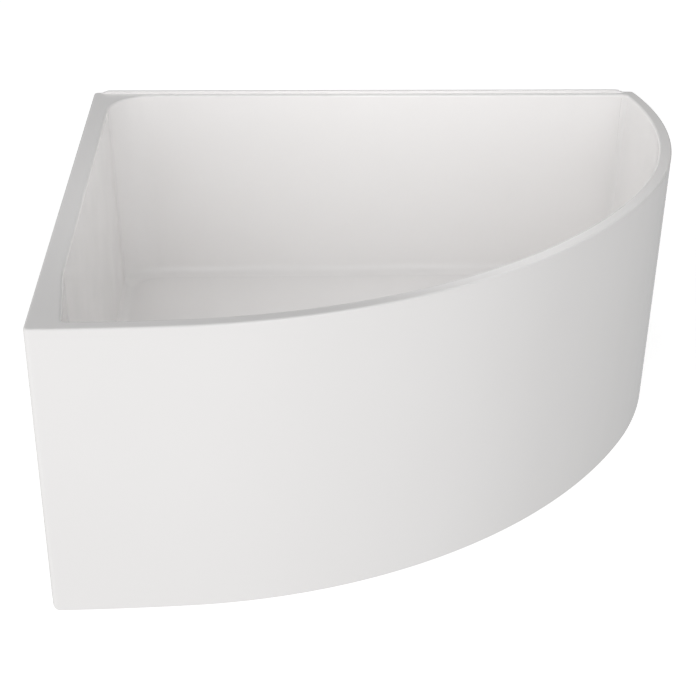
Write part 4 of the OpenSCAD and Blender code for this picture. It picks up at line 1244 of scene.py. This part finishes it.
print("flange:", len(flange.data.polygons), "faces")

# %% [markdown]
# The washer and the seal are plain rings. The plug is a domed cap on a stem, with a seat
# under the cap for its ring, and the stem stands in a guide in the cartridge. The housing
# under the floor is made of pipe stubs, which the construction already holds.

# %% Rings, plug and cartridge
seat_inner, seat_outer, seat_gap = 21 * MM, 25 * MM, 0.06 * MM


def ring_of(name, node, inner, outer, rounding):
    """A turned ring that fills the height of its node."""
    low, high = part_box(node)
    return turned(name, [(inner, low.z, rounding), (inner, high.z, rounding), (outer, high.z, rounding),
                         (outer, low.z, rounding)], steps=96, looped=True, place=at_waste)


washer = ring_of("flange_washer", "waste_washer", waste_radius, 33.5 * MM, 0.3 * MM)
floor_seal = ring_of("floor_seal", "waste_seal", waste_radius, 37 * MM, 0.8 * MM)
plug_ring = ring_of("plug_ring", "plug_seal", seat_inner + seat_gap, seat_outer - seat_gap, 0.8 * MM)

plug_low, plug_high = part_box("waste_plug")
cap_radius, cap_rise, stem_radius = 31 * MM, 6 * MM, 4 * MM
cap_z, cap_edge = plug_high.z - cap_rise, 1.4 * MM
dome = [(cap_radius * math.cos(a), cap_z + cap_edge + (cap_rise - cap_edge) * math.sin(a))
        for a in quarter(16)[:-1]]
plug = turned("press_plug", [(0, plug_low.z), (stem_radius, plug_low.z, 0.6 * MM), (stem_radius, cap_z),
                             (seat_inner, cap_z), (seat_inner, cap_z + MM), (seat_outer, cap_z + MM),
                             (seat_outer, cap_z), (cap_radius - MM, cap_z), *dome, (0, plug_high.z)],
              steps=96, place=at_waste)

cartridge_low, cartridge_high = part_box("press_cartridge")
cartridge_floor, guide = cartridge_low.z + 3 * MM, stem_radius + 0.06 * MM
step_radius, step_high = cartridge_radius + 2 * MM, spider_high + 2 * MM
cartridge_section = [(0, cartridge_low.z), (cartridge_radius, cartridge_low.z, MM / 2),
                     (cartridge_radius, spider_high), (step_radius, spider_high, 0.3 * MM),
                     (step_radius, step_high, 0.3 * MM), (cartridge_radius, step_high),
                     (cartridge_radius, cartridge_high.z, MM / 2), (guide, cartridge_high.z, MM / 3),
                     (guide, cartridge_floor), (0, cartridge_floor)]
cartridge = turned("cartridge", cartridge_section, steps=48, place=at_waste)
waste_trap = merged_copy("waste_housing", "waste_body", 0.5 * MM)
print("waste parts turned about", tuple(round(v, 4) for v in waste))

# %% [markdown]
# The overflow looks out of the angled panel. Its cover is a chromed cup with a mouth cut
# in its lower side, where the water goes in, and one screw through its middle draws the
# elbow behind the wall against its seal. Its axis leans as the wall does.

# %% Overflow
cover_depth, cover_wall = 11 * MM, 2 * MM
bolt_hole, inner_face = 3 * MM, cover_depth - cover_wall
cover_section = [(bolt_hole, inner_face), (cover_radius - 5 * MM, inner_face, MM),
                 (cover_radius - cover_wall, cover_depth - 5 * MM, MM), (cover_radius - cover_wall, bond),
                 (cover_radius, bond, 0.4 * MM), (cover_radius, cover_depth - 4 * MM, 2.5 * MM),
                 (cover_radius - 4 * MM, cover_depth, 2.5 * MM), (bolt_hole, cover_depth)]
cover = turned("overflow_rosette", cover_section, steps=96, looped=True)
mouth_side, mouth_height = cover_radius / 2, cover_depth - 5.7 * MM
mouth_line = [(10 * MM, y, z) for y, z in ((-mouth_side, -MM), (mouth_side, -MM),
                                           (mouth_side, mouth_height), (-mouth_side, mouth_height))]
carve(cover, plate("mouth", mouth_line, (cover_radius, 0, 0),
                   [(mouth_line[2], 2.5 * MM), (mouth_line[3], 2.5 * MM)]))
settle(cover, at_overflow)

seal_low, seal_radius = -sheet - 3 * MM, 30 * MM
seal_line = [(overflow_radius, seal_low), (overflow_radius, -sheet), (seal_radius, -sheet),
             (seal_radius, seal_low)]
overflow_seal = turned("overflow_gasket", [(*spot, 0.5 * MM) for spot in seal_line], steps=72, looped=True,
                       place=at_overflow)
bolt = pan_screw(cover_depth - seal_low + 10 * MM, 2.5 * MM, 5 * MM, 2 * MM)
settle(bolt, at_overflow @ Matrix.Translation((0, 0, cover_depth)) @ Matrix.Rotation(math.pi, 4, "X"))
bolt.name = bolt.data.name = "overflow_bolt"
elbow = merged_copy("overflow_housing", "overflow_elbow", 0.5 * MM)
print("cover:", len(cover.data.polygons), "faces")

# %% [markdown]
# The pipe is a tube that runs down, round one wide bend and along to the waste. Two open
# sleeves, the outer and the inner face, are drawn by a circle that is extruded, spun
# round the bend and extruded again, and bridges close both ends.

# %% Pipe
pipe_low, pipe_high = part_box("overflow_pipe")
pipe_radius, pipe_bend, pipe_wall = 13 * MM, 58 * MM, 2.4 * MM
pipe_x, run_z = pipe_low.x + pipe_radius, pipe_low.z + pipe_radius
pipe_y = centre_of("overflow_pipe").y
pipe = new_mesh("bent_pipe")
for radius in (pipe_radius, pipe_radius - pipe_wall):
    bpy.ops.mesh.primitive_circle_add(vertices=48, radius=radius, location=(pipe_x, pipe_y, pipe_high.z))
    pull((0, 0, run_z + pipe_bend - pipe_high.z))
    bpy.ops.mesh.spin(steps=18, angle=math.radians(90), axis=(0, 1, 0),
                      center=(pipe_x + pipe_bend, pipe_y, run_z + pipe_bend))
    pull((pipe_high.x - pipe_x - pipe_bend, 0, 0))
for test in (lambda v: v.co.z > pipe_high.z - MM / 10, lambda v: v.co.x > pipe_high.x - MM / 10):
    select_where("edges", lambda e: all(test(v) for v in e.verts))
    bpy.ops.mesh.bridge_edge_loops()
close_skin()

print("pipe:", len(pipe.data.polygons), "faces, bent at", round(pipe_bend, 4))

# %% [markdown]
# A collar nut has ribs for the hand, and a cone seal lies under it. Both are made once and
# copied to the two ends of the pipe.

# %% Collar nuts and cone seals
nuts_high, cones_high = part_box("pipe_nuts")[1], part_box("pipe_seals")[1]
nut_reach, nut_radius, shoulder = 14 * MM, 19.2 * MM, 17.5 * MM
grip = pipe_radius + MM / 2
nut_section = [(grip, 0, 0.4 * MM), (nut_radius - MM, 0, MM), (nut_radius, nut_reach, 0.6 * MM),
               (shoulder, nut_reach, 0.3 * MM), (shoulder, 4 * MM), (grip, 4 * MM)]
collar_nut = turned("collar_nut", nut_section, steps=72, looped=True)
grip_rib = block("rib", (nut_radius - 1.6 * MM, -1.5 * MM, 1.5 * MM), (nut_radius + MM, 1.5 * MM, nut_reach),
                 0.5 * MM)
carve(collar_nut, joined("ribs", copies(grip_rib, [spot_at((0, 0, 0), 30 * k) for k in range(12)])), "UNION")
level = Matrix.Rotation(math.radians(90), 4, "Y")


def at_pipe_ends(name, model, high, reach):
    """Two copies of a model, one at the top of the pipe and one at its level end."""
    return joined(name, copies(model, [spot_at((pipe_x, pipe_y, high.z - reach)),
                                       Matrix.Translation((high.x - reach, pipe_y, run_z)) @ level]))


pipe_nuts = at_pipe_ends("pipe_collars", collar_nut, nuts_high, nut_reach)
cone_height, cone_bore, cone_foot, cone_top = 2.4 * MM, pipe_radius + 0.05 * MM, 15.6 * MM, 16.7 * MM
cone = turned("cone", [(cone_bore, 0), (cone_foot, 0, 0.3 * MM), (cone_top, cone_height, 0.3 * MM),
                       (cone_bore, cone_height)], steps=48, looped=True)
cone_seals = at_pipe_ends("cone_rings", cone, cones_high, cone_height)
print("collars and cones at both ends of the pipe")

# %% [markdown]
# Under the basin there are eight more finishes. Sprayed glassfibre is a pale resin in which
# short strands lie in every direction: each direction is a noise that is stretched along it,
# and the brightest strand wins. Chipboard is a heap of flat chips, which is what a Voronoi
# pattern draws, and a fine noise is the dust between them.

# %% Glassfibre and chipboard
def turned_place(made, turn, scale):
    """The piece's own coordinates, turned by degrees about x, y and z, then stretched."""
    source = add_node(made, "ShaderNodeTexCoord")
    turning = add_node(made, "ShaderNodeMapping", Rotation=tuple(math.radians(a) for a in turn))
    stretch = add_node(made, "ShaderNodeMapping", Scale=scale)
    link_nodes(made.node_tree, (source.outputs["Object"], turning.inputs["Vector"]),
               (turning.outputs["Vector"], stretch.inputs["Vector"]))
    return stretch.outputs["Vector"]


def brighter(made, first, second):
    node = add_node(made, "ShaderNodeMath", operation="MAXIMUM")
    link_nodes(made.node_tree, (first, node.inputs[0]), (second, node.inputs[1]))
    return node.outputs["Value"]


fibreglass = new_material("sprayed_glassfibre", (0.66, 0.64, 0.5), 0.42, Coat_Weight=0.3,
                          Coat_Roughness=0.25)
strands = None
for turn in ((0, 0, 20), (35, 60, 75), (70, 15, 130), (110, 80, 40), (150, 40, 100), (20, 110, 160)):
    strand = ramp(fibreglass, noise(fibreglass, turned_place(fibreglass, turn, (22, 420, 420)), 1, 1),
                  (0.56, 0), (0.66, 1))
    strands = strand if strands is None else brighter(fibreglass, strands, strand)
blotch = noise(fibreglass, own_place(fibreglass), 14)
resin = ramp(fibreglass, blotch, (0.3, (0.5, 0.49, 0.36)), (0.7, (0.64, 0.63, 0.5)))
mix = add_node(fibreglass, "ShaderNodeMix", data_type="RGBA")
first, second = (socket for socket in mix.inputs if socket.type == "RGBA")
second.default_value = (0.8, 0.79, 0.7, 1)
link_nodes(fibreglass.node_tree, (strands, mix.inputs["Factor"]), (resin, first))
colour_with(fibreglass, next(socket for socket in mix.outputs if socket.type == "RGBA"))
rough_with(fibreglass, ramp(fibreglass, blotch, (0.3, 0.3), (0.7, 0.52)))
bump_with(fibreglass, strands, 0.5 * MM)
bump_with(fibreglass, noise(fibreglass, own_place(fibreglass), 60), 0.8 * MM)


def voronoi(made, place, scale):
    """Cells that each have one colour of their own."""
    node = add_node(made, "ShaderNodeTexVoronoi", Scale=scale)
    link_nodes(made.node_tree, (place, node.inputs["Vector"]))
    return node.outputs["Color"]


chipboard = new_material("chipboard", (0.55, 0.4, 0.24), 0.8)
chips = voronoi(chipboard, own_place(chipboard, (1, 1.6, 2.4)), 210)
colour_with(chipboard, ramp(chipboard, chips, (0.1, (0.36, 0.24, 0.13)), (0.45, (0.55, 0.4, 0.23)),
                            (0.9, (0.7, 0.56, 0.36))))
rough_with(chipboard, ramp(chipboard, chips, (0.2, 0.7), (0.8, 0.9)))
bump_with(chipboard, chips, 0.25 * MM)
bump_with(chipboard, noise(chipboard, own_place(chipboard), 900), 0.1 * MM)
print("glassfibre and chipboard mixed")

# %% [markdown]
# Metals differ mostly in how they scatter a reflection. Galvanised tube has a spangle of
# large crystals, each with its own shine, zinc-plated screws and nuts have a fine satin
# grain, and chrome is nearly a mirror, with faint smears from wiping.

# %% Metals
galvanised = new_material("galvanised_steel", (0.5, 0.52, 0.54), 0.45, Metallic=1.0)
crystal = voronoi(galvanised, own_place(galvanised), 95)
colour_with(galvanised, ramp(galvanised, crystal, (0.1, (0.42, 0.44, 0.46)), (0.9, (0.62, 0.64, 0.67))))
rough_with(galvanised, ramp(galvanised, crystal, (0.1, 0.34), (0.9, 0.56)))
bump_with(galvanised, noise(galvanised, own_place(galvanised), 500), 0.03 * MM)

zinc = new_material("zinc_plate", (0.66, 0.67, 0.68), 0.3, Metallic=1.0)
cloud = noise(zinc, own_place(zinc), 120)
colour_with(zinc, ramp(zinc, cloud, (0.3, (0.6, 0.61, 0.62)), (0.7, (0.72, 0.72, 0.7))))
rough_with(zinc, ramp(zinc, cloud, (0.3, 0.24), (0.7, 0.38)))
bump_with(zinc, noise(zinc, own_place(zinc), 2500), 0.01 * MM)

chrome = new_material("polished_chrome", (0.82, 0.83, 0.85), 0.06, Metallic=1.0)
smear = noise(chrome, own_place(chrome, (1, 3, 1)), 60)
colour_with(chrome, ramp(chrome, smear, (0.3, (0.8, 0.81, 0.83)), (0.7, (0.85, 0.86, 0.88))))
rough_with(chrome, ramp(chrome, smear, (0.35, 0.04), (0.75, 0.13)))
bump_with(chrome, noise(chrome, own_place(chrome), 35, 1), 0.03 * MM)
print("three metals mixed")

# %% [markdown]
# Moulded plastics and rubber have a fine grain from their moulds. White pipework is a
# little see-through at its edges, the black pads are matt, and the rubber of the seals is
# duller still.

# %% Plastics and rubber
def moulded(name, dark, light, roughness, grain, **settings):
    made = new_material(name, light, roughness, **settings)
    drift = noise(made, own_place(made), 40)
    colour_with(made, ramp(made, drift, (0.3, dark), (0.7, light)))
    rough_with(made, ramp(made, drift, (0.3, roughness - 0.05), (0.7, roughness + 0.06)))
    bump_with(made, noise(made, own_place(made), grain), 0.03 * MM)
    return made


white_pipe = moulded("white_polypropylene", (0.74, 0.74, 0.72), (0.8, 0.8, 0.79), 0.36, 900,
                     Subsurface_Weight=0.12, Subsurface_Scale=2 * MM)
black_pad = moulded("black_polyamide", (0.018, 0.018, 0.019), (0.03, 0.03, 0.031), 0.48, 1500)
rubber = moulded("seal_rubber", (0.022, 0.022, 0.022), (0.04, 0.039, 0.038), 0.68, 700)
print("plastics and rubber mixed")

# %% [markdown]
# Every piece now gets its finish, its body and the nodes that it stands for. All the
# hardware rides on the bath, apart from the plug with its ring, the turning studs and
# their sliding pads.

# %% Hardware finished
on_bath = [
    (fibreglass, "glassfibre", {"glassfibre_backing": fibre}),
    (chipboard, "board", {"base_board": board, "skirt_blocks": blocks}),
    (galvanised, "frame_steel", {"steel_frame": welded_frame, "skirt_stays": skirt_stays}),
    (zinc, "plated_steel", {**nut_sets, "frame_screws": board_screws, "stay_screws": stay_screws,
                            "wall_brackets": brackets}),
    (chrome, "chrome", {"waste_flange": flange, "overflow_cover": cover, "overflow_screw": bolt}),
    (white_pipe, "pipe_plastic", {"waste_body": waste_trap, "press_cartridge": cartridge,
                                  "overflow_elbow": elbow, "overflow_pipe": pipe, "pipe_nuts": pipe_nuts}),
    (rubber, "seal_rubber", {"waste_washer": washer, "waste_seal": floor_seal,
                             "overflow_seal": overflow_seal, "pipe_seals": cone_seals}),
]
for finish, slot, pieces in on_bath:
    for node, piece in pieces.items():
        dress(piece, finish, slot, "bath", node)
dress(plug, chrome, "chrome", "plug", "waste_plug")
dress(plug_ring, rubber, "seal_rubber", "plug", "plug_seal")
for k, (stud, pad) in enumerate(zip(studs, pads), 1):
    stud.name = stud.data.name = f"threaded_leg_{k}"
    pad.name = pad.data.name = f"levelling_foot_{k}"
    dress(stud, zinc, "plated_steel", f"stud_{k}", f"leg_stud_{k}")
    dress(pad, black_pad, "pad_plastic", f"foot_{k}", f"foot_pad_{k}")

# %% [markdown]
# The dressed bath must be as large as its construction, so its box is printed last, to set
# beside the construction's box that was printed at the start.

# %% Sizes
low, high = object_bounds()
print("visual box:", [round(v, 5) for v in (*low, *high)])
